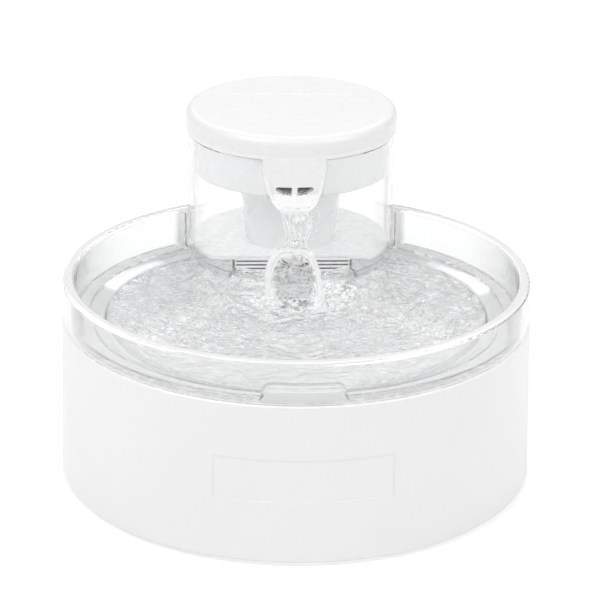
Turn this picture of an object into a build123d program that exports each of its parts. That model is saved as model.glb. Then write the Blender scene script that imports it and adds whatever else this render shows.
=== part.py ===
"""Pet water fountain: an opaque base, a clear bowl with a tower, and a lift-out filter housing.

Millimetres, +Z up, +Y towards the back. The part stands on z = 0, with the origin under the
middle of its box. Heights and radii are named once and everything that fits takes them from there.
"""
from build123d import *
import math
import os

os.makedirs("parts", exist_ok=True)

# ---- driving dimensions: overall form ----
rim_radius = 135.0            # outside of the clear bowl's rim
tower_radius = 62.4           # outside of the clear tower
tower_inset = 28.5            # rim to the tower's axis
base_overhang = 1.0          # how far the base's top stands outside the bowl and tower
base_draft = 1.4              # how much wider the base is at its foot
foot_height = 3.5             # height of the rubber feet
shadow_gap = 2.2              # base wall's lower edge above the ground
base_height = 95.5            # ground to the seam between base and bowl
rim_rise = 25.3               # seam to the top of the rim
tower_rise = 77.9             # seam to the top of the clear tower
outer_corner_radius = 9.0     # soft corners where tower and bowl meet outside
inner_corner_radius = 8.0     # and inside

# ---- base mouldings ----
base_wall = 2.6
base_ring_thickness = 3.0
floor_thickness = 2.5
floor_fit = 0.3               # gap between the floor plate and the wall
bowl_fit = 0.8                # gap between the bowl and the base's opening
panel_half_angle = 21.8       # bare panel on the front of the base
panel_low = 38.7
panel_high = 64.0
panel_depth = 0.5
panel_corner = 4.0
key_width = 39.0              # key tab on the base's ring that turns the bowl the right way round
key_height = 5.6
key_depth = 4.6
key_slope = 4.5
key_fit = 0.6

# ---- fasteners ----
boss_radius = 4.5
boss_height = 18.0
boss_inset = 11.0             # wall face to boss centre
boss_angles = (-120, -60, 2, 52, 128, 178)
screw_radius = 1.7
screw_length = 16.0
screw_head_radius = 3.4
screw_head_height = 1.8
small_screw_radius = 1.2
small_head_radius = 2.3
small_head_height = 1.2
screw_tip_gap = 0.2           # screw's tip to the end of its hole
floor_skin = 0.6              # what the cover's screw holes leave of the floor plate

# ---- feet ----
foot_radius = 9.0
foot_inset = 20.0
foot_angles = (-135, -45, 20, 160)

# ---- bowl ----
bowl_wall = 2.4
rim_band = 6.3                # width of the rim's top
rim_thickness = 3.0
skirt_gap = 1.7               # between the bowl's inner wall and its outer skirt
rim_round = 1.4
ledge_drop = 1.2              # how far the inner wall leans in, from rim to ledge
ledge_width = 7.1
ledge_thickness = 3.0
shelf_width = 10.1
shelf_fall = 3.5
tub_draft = 4.8
tub_floor = 14.0              # top of the bowl's floor
tub_round = 9.0
raised_floor = 38.0           # top of the floor under the tower
raised_fit = 0.5              # motor cover to the floor's underside
tower_lip = 0.4               # chamfers on the tower's top edge
lobe_step = 2.0               # the tower is this much slimmer below the seam
bump_height = 8.7
bump_top_half = 20.5
bump_bottom_half = 25.0
bump_corner = 3.5
bump_wall = 1.7
window_half_angle = 38.0
window_sill = 3.0
window_rise = 8.2             # seam to the top of the tower's window
window_corner = 7.0
window_sill_corner = 3.0
web_bite = 0.7                # how far the corner webs reach into the walls they join
notch_fit = 0.5               # round the spout, in the tower's front

# ---- filter housing ----
flange_overhang = 1.4         # flange outside the tower
flange_thickness = 2.2
flange_lift = 0.8             # dark gap between tower and flange
flange_step = 1.5             # the flange's lower step stands this far inside the tower's face
tray_fit = 0.6                # gap between tray and tower
tray_wall = 2.0
tray_drop = 23.4              # tower's top to the tray's underside
column_top_radius = 31.9
column_bottom_radius = 27.2
column_wall = 2.0
rib_radius = 3.0
rib_height = 7.5              # what holds the cartridge off the tray's floor
rib_inset = 16.0              # tray wall to rib
rib_count = 6

# ---- spout ----
spout_half_width = 18.5
spout_shoulder_drop = 8.4     # tower's top to where the sides start to close in
spout_shoulder_round = 12.0
spout_face_half = 15.6        # half width at the foot of the face
spout_foot_drop = 23.8
spout_foot_round = 6.0
chute_reach = (-3.4, -0.25, 1.45, 3.75, 6.75, 10.0)    # stations in front of the spout's face
chute_half_low = (15.4, 15.4, 14.4, 12.7, 10.4, 8.1)   # half widths there, low
chute_half_high = (17.0, 17.0, 15.6, 13.8, 11.5, 9.0)  # and at the edges
chute_edge_drop = (12.4, 12.4, 17.3, 22.3, 24.9, 26.0)   # tower's top to the edges
chute_floor_drop = (19.8, 20.4, 22.0, 24.0, 25.8, 26.7)  # and to the floor
chute_round = (6.0, 6.0, 4.6, 3.8, 3.1, 2.4)           # lower corners
chute_floor = 1.6
chute_side = 1.5
chute_clear = 2.0             # how far the hollow stands above the edges
divider_half = 1.1            # rib between the outlets, on the chute's floor
divider_rise = 2.5
divider_end = 3               # the station where it runs out
outlet_drop = 15.4            # tower's top to the top of the outlets
outlet_height = 5.0
outlet_inner = 1.6
outlet_outer = 11.8
outlet_slant = 5.5            # width of the outlet's sloping lower end
outlet_end = (1.4, 1.8)       # its short outer end
outlet_round = 10.0
outlet_end_round = 1.2
outlet_inner_round = 0.8

# ---- impeller cover (the drum) ----
drum_radius = 35.7
drum_wall = 2.0
drum_rise = 9.3               # seam to the drum's top
grille_corner = 3.0           # corners of its flat front
cover_plate_fit = 0.8         # the cover's top plate inside the tower
drum_floor_gap = 0.5
louvre_height = 1.1
louvre_pitch = 2.35
louvre_count = 10
louvre_inset = 2.2            # drum's side to the louvres' ends
louvre_drop = 0.5             # drum's top to the first louvre
spigot_height = 5.5
spigot_fit = 0.2
chamber_radius = 23.0
chamber_lift = 4.0
chamber_height = 22.0         # raised floor to the top of the chamber's wall
neck_rise = 29.0              # raised floor to the foot of the neck
neck_wall = 1.8

# ---- riser, foam, cartridge ----
riser_radius = 8.0
riser_wall = 1.6
riser_fit = 0.1
riser_drop = 1.1              # tower's top to the riser's mouth
riser_rise = 36.0             # raised floor to the riser's foot
foam_fit = 0.3
cartridge_height = 12.0
cartridge_fit = 0.6
cartridge_wall = 1.5
cartridge_bore_fit = 0.9
media_fit = 0.15
cap_thickness = 1.5
flow_hole_radius = 2.6
hole_ring_first = 20.0
hole_ring_pitch = 10.75
hole_ring_counts = (10, 16, 22)
tab_width = 16.0
tab_thickness = 1.6
tab_height = 2.6

# ---- lid ----
lid_height = 11.6
lid_wall = 2.4
lid_round = 4.5
lid_seam = 0.35
lid_ring_drop = 3.2
lid_ring_fit = 0.5
lid_ring_wall = 1.8
recess_length = 74.0
recess_width = 18.8
recess_corner = 4.0
recess_depth = 0.5
recess_back = 16.6

# ---- drive: impeller, magnets and motor ----
post_radius = 2.0
post_rise = 24.0              # raised floor to the post's top
post_round = 0.8
post_boss_radius = 4.6
post_boss_height = 3.0
post_depth = 1.3
bush_fit = 0.05
bush_radius = 3.2
impeller_radius = 18.5
impeller_gap = 0.4
impeller_hub_radius = 5.2
impeller_height = 16.1
impeller_disc = 1.6
magnet_cup_radius = 15.5
magnet_cup_height = 6.4
magnet_ring_radius = 14.0
magnet_ring_height = 5.0
vane_count = 6
vane_thickness = 1.2
vane_drop = 1.5               # hub's top to the vanes'
cover_gap = 4.0               # motor cover inside the bowl's tower wall
cover_wall = 2.0
cover_flange_width = 5.4
cover_flange_thickness = 2.0
gasket_thickness = 1.0
motor_radius = 14.0
motor_gap = 2.0               # floor plate to the motor's can
motor_round = 1.0
motor_cap_radius = 6.3
motor_cap_height = 1.2
bracket_thickness = 1.5
bracket_post_circle = 24.0
bracket_post_radius = 3.4
bracket_arm_width = 6.4
bracket_rim = 1.5
motor_boss_radius = 4.0
motor_boss_fit = 0.1
motor_screw_circle = 9.0
shaft_radius = 1.5
shaft_fit = 0.03
shaft_depth = 4.0             # solid part of the motor under its shaft
shaft_cap = 0.4               # carrier left over the shaft's end
shaft_end_gap = 0.3
rotor_gap = 0.8
bracket_gap = 2.2             # bracket to magnet carrier
carrier_radius = 18.0
carrier_thickness = 3.6
drive_magnet_radius = 3.6
drive_magnet_height = 2.0
drive_magnet_circle = 12.0
drive_magnet_count = 6

# ---- electronics ----
board_size = (18.0, 44.0, 1.6)
board_inset = 18.0            # motor cover's face to the board's middle
board_post_height = 4.0
board_post_radius = 2.8
board_screw_y = 17.0
board_screw_length = 4.6
connector_size = (6.0, 10.0, 6.0)
connector_x = 5.5             # from the board's middle
lead_radius = 0.8
lead_spacing = 3.0
grommet_height = 14.0         # ground to the middle of the cord's bore
grommet_half = 4.4            # half the width of the grommet in its slot
grommet_lap = 2.0             # its flange beyond the slot
grommet_flange = 1.2
grommet_flange_fit = 0.1
grommet_inset = 0.2           # its face inside the base's
grommet_length = 6.0
lead_bore_radius = 2.1
thread_depth = 8.0            # screw hole in a bracket post
bracket_screw_length = 7.5
motor_screw_length = 5.0
weld = 1.0                    # how far two shapes of one moulding reach into each other

# ---- places worked out from the driving dimensions ----
tower_offset = rim_radius - tower_inset
base_top_radius = rim_radius + base_overhang
base_foot_radius = base_top_radius + base_draft
lobe_top_radius = tower_radius + base_overhang
lobe_foot_radius = lobe_top_radius + base_draft
bowl_y = (base_foot_radius - tower_offset - lobe_foot_radius) / 2
tower_y = bowl_y + tower_offset
rim_top = base_height + rim_rise
tower_top = base_height + tower_rise
floor_bottom = foot_height
floor_top = floor_bottom + floor_thickness
tower_inner = tower_radius - bowl_wall
lobe_outer = tower_radius - lobe_step
lobe_inner = lobe_outer - bowl_wall
inner_wall_top = rim_radius - rim_band
inner_wall_outer = rim_radius - bowl_wall - skirt_gap
ledge_outer = inner_wall_top - ledge_drop
ledge_inner = ledge_outer - ledge_width
ledge_top = base_height + ledge_thickness
shelf_inner = ledge_inner - shelf_width
shelf_low = ledge_top - shelf_fall
tub_outer_top = shelf_inner + bowl_wall
ring_opening = ledge_inner + bowl_fit
window_top = base_height + window_rise
raised_underside = raised_floor - bowl_wall
flange_low = tower_top + flange_lift
flange_top = flange_low + flange_thickness
flange_radius = tower_radius + flange_overhang
flange_step_radius = tower_radius - flange_step
lid_top = flange_top + lid_height
tray_radius = tower_inner - tray_fit
tray_inner = tray_radius - tray_wall
tray_bottom = tower_top - tray_drop
tray_floor = tray_bottom + tray_wall
spout_shoulder = tower_top - spout_shoulder_drop
spout_foot = tower_top - spout_foot_drop
outlet_top = tower_top - outlet_drop
outlet_bottom = outlet_top - outlet_height
cartridge_low = tray_floor + rib_height
cartridge_top = cartridge_low + cartridge_height
cartridge_outer = tray_inner - cartridge_fit
cartridge_bore = riser_radius + cartridge_bore_fit
media_outer = cartridge_outer - cartridge_wall - media_fit
media_inner = cartridge_bore + cartridge_wall + media_fit
drum_top = base_height + drum_rise
chamber_top = raised_floor + chamber_height
neck_bottom = raised_floor + neck_rise
riser_bottom = raised_floor + riser_rise
riser_top = tower_top - riser_drop
riser_inner = riser_radius - riser_wall
riser_socket = riser_radius + riser_fit
post_top = raised_floor + post_rise
impeller_low = raised_floor + post_boss_height + impeller_gap
impeller_top = impeller_low + impeller_height
magnet_cup_top = impeller_low + magnet_cup_height
cover_radius = lobe_inner - cover_gap
cover_flange_radius = cover_radius + cover_flange_width
cover_screw_circle = (cover_radius + cover_flange_radius) / 2
cover_low = floor_top + gasket_thickness
cover_top = raised_underside - raised_fit
rotor_top = cover_top - cover_wall - rotor_gap
carrier_low = rotor_top - carrier_thickness
bracket_top = carrier_low - bracket_gap
bracket_height = bracket_top - bracket_thickness
motor_top = bracket_height
motor_bottom = floor_top + motor_gap
board_x = board_inset - cover_radius
board_low = floor_top + board_post_height
board_top = board_low + board_size[2]
grommet_face = lobe_foot_radius - grommet_inset


# ---- helpers ----
def disc(radius, low, high):
    """Upright cylinder on the Z axis."""
    return Pos(0, 0, (low + high) / 2) * Cylinder(radius, high - low)


def tube(outer, inner, low, high):
    """Upright tube on the Z axis."""
    return disc(outer, low, high) - disc(inner, low - 1, high + 1)


def block(x_range, y_range, z_range):
    """Box between three pairs of limits."""
    middle = [(low + high) / 2 for low, high in (x_range, y_range, z_range)]
    lengths = [high - low for low, high in (x_range, y_range, z_range)]
    return Pos(*middle) * Box(*lengths)


def outline(points, rounds=()):
    """Closed outline; each (index, radius) in rounds softens one of its corners."""
    face = make_face(Polyline(*points, close=True))
    for index, radius in rounds:
        x, y = points[index]
        corner = min(face.vertices(), key=lambda v: math.hypot(v.X - x, v.Y - y))
        face = fillet(corner, radius)
    return face


def turned(points, rounds=()):
    """Solid of revolution from an outline in (radius, height)."""
    return revolve(Plane.XZ * outline(points, rounds), Axis.Z)


def upright(points, rounds, y_low, y_high):
    """Prism whose outline is given in (x, z), between two values of y."""
    face = Pos(0, y_high, 0) * (Plane.XZ * outline(points, rounds))
    return extrude(face, amount=y_high - y_low, dir=(0, -1, 0))


def at_bowl(shape):
    """Move from the Z axis to the bowl's axis."""
    return Pos(0, bowl_y, 0) * shape


def at_tower(shape):
    """Move from the Z axis to the tower's axis."""
    return Pos(0, tower_y, 0) * shape


def polar(radius, degrees):
    """Point on a circle round the Z axis."""
    angle = math.radians(degrees)
    return radius * math.cos(angle), radius * math.sin(angle)


def crossing(main_radius, lobe_radius):
    """Where a circle round the bowl's axis meets one round the tower's axis, on +X."""
    along = (tower_offset ** 2 + main_radius ** 2 - lobe_radius ** 2) / (2 * tower_offset)
    return math.sqrt(main_radius ** 2 - along ** 2), bowl_y + along


def toward(centre, spot, distance):
    """Point at a distance from a centre, on the way to a spot."""
    length = math.hypot(spot[0] - centre[0], spot[1] - centre[1])
    ratio = distance / length
    return centre[0] + (spot[0] - centre[0]) * ratio, centre[1] + (spot[1] - centre[1]) * ratio


def mirrored(spot):
    """The same point on -X."""
    return -spot[0], spot[1]


def soft_corner(main_radius, lobe_radius, corner, side=1):
    """Ends and middle of the arc that softens a crossing; side is -1 inside the main circle."""
    centre = crossing(main_radius + side * corner, lobe_radius + corner)
    on_main = toward((0, bowl_y), centre, main_radius)
    on_lobe = toward((0, tower_y), centre, lobe_radius)
    halfway = ((on_main[0] + on_lobe[0]) / 2, (on_main[1] + on_lobe[1]) / 2)
    return on_main, toward(centre, halfway, corner), on_lobe


def lobed(main_radius, lobe_radius, corner):
    """Outline of two crossing circles, with soft inner corners."""
    on_main, middle, on_lobe = soft_corner(main_radius, lobe_radius, corner)
    edges = [
        ThreePointArc(mirrored(on_main), (0, bowl_y - main_radius), on_main),
        ThreePointArc(on_main, middle, on_lobe),
        ThreePointArc(on_lobe, (0, tower_y + lobe_radius), mirrored(on_lobe)),
        ThreePointArc(mirrored(on_lobe), mirrored(middle), mirrored(on_main)),
    ]
    return make_face(edges)


def prism(face, low, high, taper=0):
    """Upright prism from an outline."""
    return extrude(Pos(0, 0, low) * face, amount=high - low, taper=taper)


def one_solid(shape):
    """The shape, which has to be a single solid."""
    solids = shape.solids()
    assert len(solids) == 1, f"{len(solids)} solids"
    return solids[0]


def group(shapes):
    """Separate solids in one node."""
    return Compound(children=[s for shape in shapes for s in shape.solids()])


def screw(x, y, seat, length, radius, head_radius, head_height, upward=False):
    """Plain screw with its head on the seat: head above, or below when it is driven upward."""
    way = -1 if upward else 1
    ends = sorted((seat, seat - way * length))
    head = sorted((seat, seat + way * head_height))
    body = disc(radius, *ends) + disc(head_radius, *head)
    slot = block((-head_radius, head_radius), (-0.4, 0.4), sorted((head[0], head[1])))
    slot = Pos(0, 0, way * head_height * 0.6) * slot
    return Pos(x, y, 0) * one_solid(body - slot)


# ---- base ----
def base_outer():
    """Outside form of the base, wider at its foot."""
    taper = math.degrees(math.atan(base_draft / (base_height - shadow_gap)))
    corner = outer_corner_radius + base_draft
    face = lobed(base_foot_radius, lobe_foot_radius, corner)
    return prism(face, shadow_gap, base_height, taper)


def base_inner():
    """Hollow of the base, under its top ring."""
    top = base_height - base_ring_thickness
    taper = math.degrees(math.atan(base_draft / (base_height - shadow_gap)))
    corner = outer_corner_radius + base_draft + base_wall
    face = lobed(base_foot_radius - base_wall, lobe_foot_radius - base_wall, corner)
    return prism(face, shadow_gap - 1, top, taper)


def boss_place(degrees):
    """Centre of one of the base's screw bosses."""
    x, y = polar(base_foot_radius - base_wall - boss_inset, degrees)
    return x, bowl_y + y


def base_boss(degrees):
    """Boss for a base screw, joined to the wall by a rib."""
    x, y = boss_place(degrees)
    top = floor_top + boss_height
    boss = Pos(x, y, 0) * disc(boss_radius, floor_top, top)
    reach = base_foot_radius - base_wall / 2
    rib = block((reach - boss_inset - base_wall / 2, reach), (-1.2, 1.2), (floor_top, top))
    hole = Pos(x, y, 0) * disc(screw_radius, floor_top - 1, floor_top + screw_length)
    return boss + at_bowl(Rot(0, 0, degrees) * rib), hole


def key_tab(fit=0.0):
    """Tab on the base's ring; with a fit it is the hollow it needs in the bowl."""
    half = key_width / 2 + fit
    top = base_height + key_height + fit
    points = [(-half - key_slope, base_height - 1), (half + key_slope, base_height - 1),
              (half, top), (-half, top)]
    bar = upright(points, ((2, 1.5), (3, 1.5)), bowl_y - rim_radius, bowl_y)
    middle = (ledge_inner + inner_wall_outer) / 2
    inner = middle - key_depth / 2 - fit
    outer = middle + key_depth / 2 + fit
    return bar & at_bowl(tube(outer, inner, base_height - 1, top + 1))


def panel_recess():
    """Shallow bare panel on the front of the base."""
    half = base_foot_radius * math.sin(math.radians(panel_half_angle))
    points = [(-half, panel_low), (half, panel_low), (half, panel_high), (-half, panel_high)]
    rounds = [(index, panel_corner) for index in range(4)]
    bar = upright(points, rounds, bowl_y - base_foot_radius - 2, bowl_y)
    low = base_foot_radius - panel_depth
    high = base_top_radius - panel_depth
    core = at_bowl(turned([(0, shadow_gap), (low, shadow_gap), (high, base_height), (0, base_height)]))
    return bar - core


def grommet_block(half, near, far, low):
    """Block round the cord's bore, from one distance behind the tower's axis to another."""
    return block((-half, half), (tower_y + near, tower_y + far), (low, grommet_height + half))


def grommet_slot():
    """Stepped slot, open below, for the cord grommet in the base's back wall."""
    far = lobe_foot_radius + weld
    slot = grommet_block(grommet_half, grommet_face - grommet_length, far, shadow_gap - weld)
    lap = grommet_half + grommet_lap + grommet_flange_fit
    return slot + grommet_block(lap, grommet_face - grommet_flange, far, shadow_gap - weld)


def make_base_shell():
    """Opaque outer moulding with its top ring, bosses, key tab and bare panel."""
    outer = base_outer()
    rim_edge = outer.faces().sort_by(Axis.Z)[-1].outer_wire().edges()
    outer = chamfer(rim_edge, 0.7)
    foot_edge = outer.faces().sort_by(Axis.Z)[0].outer_wire().edges()
    outer = fillet(foot_edge, 1.0)
    opening = lobed(ring_opening, lobe_outer + bowl_fit, inner_corner_radius)
    shell = outer - base_inner() - prism(opening, base_height - base_ring_thickness - 1, base_height + 1)
    for degrees in boss_angles:
        boss, hole = base_boss(degrees)
        shell = shell + boss - hole
    shell = shell - panel_recess() - grommet_slot() + key_tab()
    return one_solid(shell)


def bracket_post_places():
    """Centres of the posts that carry the motor bracket."""
    return [polar(bracket_post_circle, degrees) for degrees in (0, 120, 240)]


def cover_screw_places():
    """Centres of the motor cover's screws."""
    return [polar(cover_screw_circle, degrees) for degrees in (45, 135, 225, 315)]


def make_base_floor():
    """Floor plate with the posts for motor bracket and circuit board."""
    main = base_foot_radius - base_wall - floor_fit
    lobe = lobe_foot_radius - base_wall - floor_fit
    corner = outer_corner_radius + base_draft + base_wall
    floor = prism(lobed(main, lobe, corner), floor_bottom, floor_top)
    for x, y in bracket_post_places():
        thread_end = bracket_height - thread_depth
        floor += Pos(x, tower_y + y, 0) * disc(bracket_post_radius, floor_top - weld, bracket_height)
        floor -= Pos(x, tower_y + y, 0) * disc(small_screw_radius, thread_end, bracket_height + 1)
    for y in (-board_screw_y, board_screw_y):
        thread_end = board_top - board_screw_length - shaft_end_gap
        floor += Pos(board_x, tower_y + y, 0) * disc(board_post_radius, floor_top - weld, board_low)
        floor -= Pos(board_x, tower_y + y, 0) * disc(small_screw_radius, thread_end, board_low + 1)
    for x, y in cover_screw_places():
        floor -= Pos(x, tower_y + y, 0) * disc(small_screw_radius, floor_bottom + floor_skin, floor_top + 1)
    for degrees in boss_angles:
        x, y = boss_place(degrees)
        floor -= Pos(x, y, 0) * disc(screw_radius, floor_bottom - 1, floor_top + 1)
        floor -= Pos(x, y, 0) * disc(screw_head_radius, floor_bottom - 1, floor_bottom + screw_head_height)
    return one_solid(floor)


def make_base_screws():
    """Screws that hold the floor plate to the shell, driven from below."""
    seat = floor_bottom + screw_head_height
    length = floor_top + screw_length - seat - screw_tip_gap
    return group([screw(*boss_place(degrees), seat, length, screw_radius, screw_head_radius,
                        screw_head_height, upward=True) for degrees in boss_angles])


def foot_places():
    """Centres of the feet: four under the bowl and one under the tower."""
    ring = [polar(base_foot_radius - foot_inset, degrees) for degrees in foot_angles]
    places = [(x, bowl_y + y) for x, y in ring]
    return places + [(0, tower_y + lobe_foot_radius - foot_inset)]


def make_rubber_feet():
    """Round rubber feet, soft at their lower edge."""
    foot = turned([(0, 0), (foot_radius, 0), (foot_radius, foot_height), (0, foot_height)], ((1, 0.9),))
    return group([Pos(x, y, 0) * foot for x, y in foot_places()])


def make_cord_grommet():
    """Rubber gland in the back wall's slot, where a supply lead would enter."""
    foot = shadow_gap + weld
    low = grommet_height - grommet_half
    body = grommet_block(grommet_half, grommet_face - grommet_length, grommet_face, low)
    body += grommet_block(grommet_half, lobe_foot_radius - base_wall, grommet_face, foot)
    body += grommet_block(grommet_half + grommet_lap, grommet_face - grommet_flange, grommet_face, foot)
    bore = disc(lead_bore_radius, grommet_face - grommet_length - weld, grommet_face + weld)
    return one_solid(body - Pos(0, tower_y, grommet_height) * (Rot(-90, 0, 0) * bore))


# ---- motor compartment ----
def make_motor_cover():
    """Sealed cover over motor and board, close under the bowl's raised floor."""
    points = [(0, cover_top - cover_wall), (cover_radius - cover_wall, cover_top - cover_wall),
              (cover_radius - cover_wall, cover_low), (cover_flange_radius, cover_low),
              (cover_flange_radius, cover_low + cover_flange_thickness),
              (cover_radius, cover_low + cover_flange_thickness), (cover_radius, cover_top), (0, cover_top)]
    cover = at_tower(turned(points, ((6, 3.0), (1, 1.0))))
    for x, y in cover_screw_places():
        cover -= Pos(x, tower_y + y, 0) * disc(small_screw_radius, cover_low - 1, cover_top)
    return one_solid(cover)


def make_cover_gasket():
    """Flat rubber ring under the motor cover's flange."""
    ring = at_tower(tube(cover_flange_radius, cover_radius - cover_wall, floor_top, cover_low))
    for x, y in cover_screw_places():
        ring -= Pos(x, tower_y + y, 0) * disc(small_screw_radius, floor_top - 1, cover_low + 1)
    return one_solid(ring)


def make_cover_screws():
    """Screws through the cover's flange and gasket into the floor plate."""
    seat = cover_low + cover_flange_thickness
    length = seat - floor_bottom - floor_skin - screw_tip_gap
    return group([screw(x, tower_y + y, seat, length, small_screw_radius, small_head_radius,
                        small_head_height) for x, y in cover_screw_places()])


def make_drive_motor():
    """Small can motor that hangs from its bracket."""
    can = turned([(0, motor_bottom), (motor_radius, motor_bottom), (motor_radius, motor_top),
                  (motor_boss_radius, motor_top), (motor_boss_radius, bracket_top), (0, bracket_top)],
                 ((1, motor_round),))
    can += disc(motor_cap_radius, motor_bottom - motor_cap_height, motor_bottom + motor_round)
    can -= disc(shaft_radius + shaft_fit, motor_bottom + shaft_depth, bracket_top + 1)
    screw_end = bracket_top - motor_screw_length - screw_tip_gap
    for x in (-motor_screw_circle, motor_screw_circle):
        can -= Pos(x, 0, 0) * disc(small_screw_radius, screw_end, motor_top + 1)
    return one_solid(at_tower(can))


def make_motor_bracket():
    """Pressed steel plate with three ears, screwed to the floor's posts."""
    plate = disc(motor_radius + bracket_rim, bracket_height, bracket_top)
    half = bracket_arm_width / 2
    for x, y in bracket_post_places():
        plate += Pos(x, y, 0) * disc(bracket_post_radius + weld, bracket_height, bracket_top)
        angle = math.degrees(math.atan2(y, x))
        arm = block((0, bracket_post_circle), (-half, half), (bracket_height, bracket_top))
        plate += Rot(0, 0, angle) * arm
    plate -= disc(motor_boss_radius + motor_boss_fit, bracket_height - 1, bracket_top + 1)
    for x, y in bracket_post_places() + [(-motor_screw_circle, 0), (motor_screw_circle, 0)]:
        plate -= Pos(x, y, 0) * disc(small_screw_radius, bracket_height - 1, bracket_top + 1)
    return one_solid(at_tower(plate))


def make_motor_screws():
    """Screws through the bracket, into its posts and into the motor."""
    places = [(x, y, bracket_screw_length) for x, y in bracket_post_places()]
    places += [(x, 0, motor_screw_length) for x in (-motor_screw_circle, motor_screw_circle)]
    return group([screw(x, tower_y + y, bracket_top, length, small_screw_radius, small_head_radius,
                        small_head_height) for x, y, length in places])


def make_motor_shaft():
    """Steel shaft from inside the motor up into the magnet carrier."""
    low = motor_bottom + shaft_depth + shaft_end_gap
    return one_solid(at_tower(disc(shaft_radius, low, rotor_top - shaft_cap)))


def drive_magnet_places():
    """Centres of the magnets on the motor's carrier."""
    step = 360 / drive_magnet_count
    return [polar(drive_magnet_circle, index * step) for index in range(drive_magnet_count)]


def make_magnet_carrier():
    """Disc on the motor's shaft, with a pocket for each magnet."""
    carrier = disc(carrier_radius, carrier_low, rotor_top)
    carrier -= disc(shaft_radius, carrier_low - 1, rotor_top - shaft_cap)
    for x, y in drive_magnet_places():
        carrier -= Pos(x, y, 0) * disc(drive_magnet_radius, rotor_top - drive_magnet_height, rotor_top + 1)
    return one_solid(at_tower(carrier))


def make_drive_magnets():
    """Round magnets, flush in the carrier."""
    magnet = disc(drive_magnet_radius, rotor_top - drive_magnet_height, rotor_top)
    return group([Pos(x, tower_y + y, 0) * magnet for x, y in drive_magnet_places()])


def make_circuit_board():
    """Driver board beside the motor."""
    width, length, thickness = board_size
    board = Pos(board_x, tower_y, board_low + thickness / 2) * Box(width, length, thickness)
    for y in (-board_screw_y, board_screw_y):
        board -= Pos(board_x, tower_y + y, 0) * disc(small_screw_radius, board_low - 1, board_top + 1)
    return one_solid(board)


def board_part(x, y, size):
    """Box-shaped component on the board, placed from the board's middle."""
    return Pos(board_x + x, tower_y + y, board_top + size[2] / 2) * Box(*size)


def board_capacitor(x, y, radius, height):
    """Upright capacitor on the board, placed from the board's middle."""
    return Pos(board_x + x, tower_y + y, 0) * disc(radius, board_top, board_top + height)


def make_board_components():
    """Lead connector, driver chip, coil and capacitors."""
    return group([
        board_part(connector_x, 0, connector_size),
        board_part(-3.0, 2.0, (6.0, 7.0, 1.6)),
        board_part(-3.0, -6.5, (5.0, 5.0, 3.0)),
        board_capacitor(3.5, 10.5, 3.0, 8.0),
        board_capacitor(4.5, -10.0, 2.2, 5.5),
    ])


def make_board_screws():
    """Screws that hold the board to its posts."""
    return group([screw(board_x, tower_y + y, board_top, board_screw_length, small_screw_radius,
                        small_head_radius, small_head_height) for y in (-board_screw_y, board_screw_y)])


def make_motor_leads():
    """Two short insulated wires from the board's connector to the motor."""
    start = board_x + connector_x + connector_size[0] / 2
    height = board_top + connector_size[2] / 2
    end = -math.sqrt(motor_radius ** 2 - (lead_spacing / 2 - lead_radius) ** 2)
    span = end - start
    leads = []
    for side in (-1, 1):
        y = tower_y + side * lead_spacing / 2
        leads.append(Pos(start + span / 2, y, height) * (Rot(0, 90, 0) * Cylinder(lead_radius, span)))
    return group(leads)


# ---- bowl ----
def tub_profile():
    """Section of the bowl round its own axis, from floor to rim."""
    wall_inner_low = shelf_inner - tub_draft
    floor_low = tub_floor - bowl_wall
    under_rim = rim_top - rim_thickness
    points = [
        (0, floor_low),
        (wall_inner_low + bowl_wall, floor_low),
        (tub_outer_top, shelf_low - bowl_wall),
        (ledge_inner + bowl_fit / 2, base_height),
        (inner_wall_outer, base_height),
        (inner_wall_outer, under_rim),
        (inner_wall_outer + skirt_gap, under_rim),
        (inner_wall_outer + skirt_gap, base_height),
        (rim_radius, base_height),
        (rim_radius, rim_top),
        (inner_wall_top, rim_top),
        (ledge_outer, ledge_top),
        (ledge_inner, ledge_top),
        (shelf_inner, shelf_low),
        (wall_inner_low, tub_floor),
        (0, tub_floor),
    ]
    rounds = ((1, tub_round + bowl_wall), (9, rim_round + 0.4), (10, rim_round), (11, 1.2),
              (12, 1.5), (13, 4.0), (14, tub_round))
    return points, rounds


def tub_envelope():
    """What the bowl's tub takes up below the seam, solid right through."""
    wall_low = shelf_inner - tub_draft + bowl_wall
    return at_bowl(turned([(0, tub_floor - bowl_wall), (wall_low, tub_floor - bowl_wall),
                           (tub_outer_top, shelf_low), (0, shelf_low)]))


def tower_shell():
    """Clear tower and its floor, round the tower's axis."""
    points = [
        (0, raised_underside),
        (lobe_outer, raised_underside),
        (lobe_outer, base_height),
        (tower_radius, base_height),
        (tower_radius, tower_top - tower_lip),
        (tower_radius - tower_lip, tower_top),
        (tower_inner + tower_lip, tower_top),
        (tower_inner, tower_top - tower_lip),
        (tower_inner, ledge_top),
        (lobe_inner, ledge_top),
        (lobe_inner, raised_floor),
        (0, raised_floor),
    ]
    return at_tower(turned(points, ((10, 2.0),)))


def tower_clearance():
    """Space inside and through the tower that the tub's own walls leave free."""
    low = disc(lobe_inner, tub_floor - bowl_wall - 1, raised_underside)
    middle = disc(lobe_outer, raised_underside, base_height)
    high = disc(tower_radius, base_height, tower_top + 1)
    return at_tower(low + middle + high)


def corner_web(main_radius, corner, side):
    """Soft vertical corners where the tower meets the bowl's wall, on both sides."""
    on_main, middle, on_lobe = soft_corner(main_radius, tower_radius, corner, side)
    deep_main = toward((0, bowl_y), on_main, main_radius - side * web_bite)
    deep_lobe = toward((0, tower_y), on_lobe, tower_radius - web_bite)
    deep_corner = crossing(main_radius - side * web_bite, tower_radius - web_bite)
    edges = [ThreePointArc(on_main, middle, on_lobe),
             Polyline(on_lobe, deep_lobe, deep_corner, deep_main, on_main)]
    web = prism(make_face(edges), base_height, rim_top - 0.5)
    return web + mirror(web, Plane.YZ)


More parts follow.
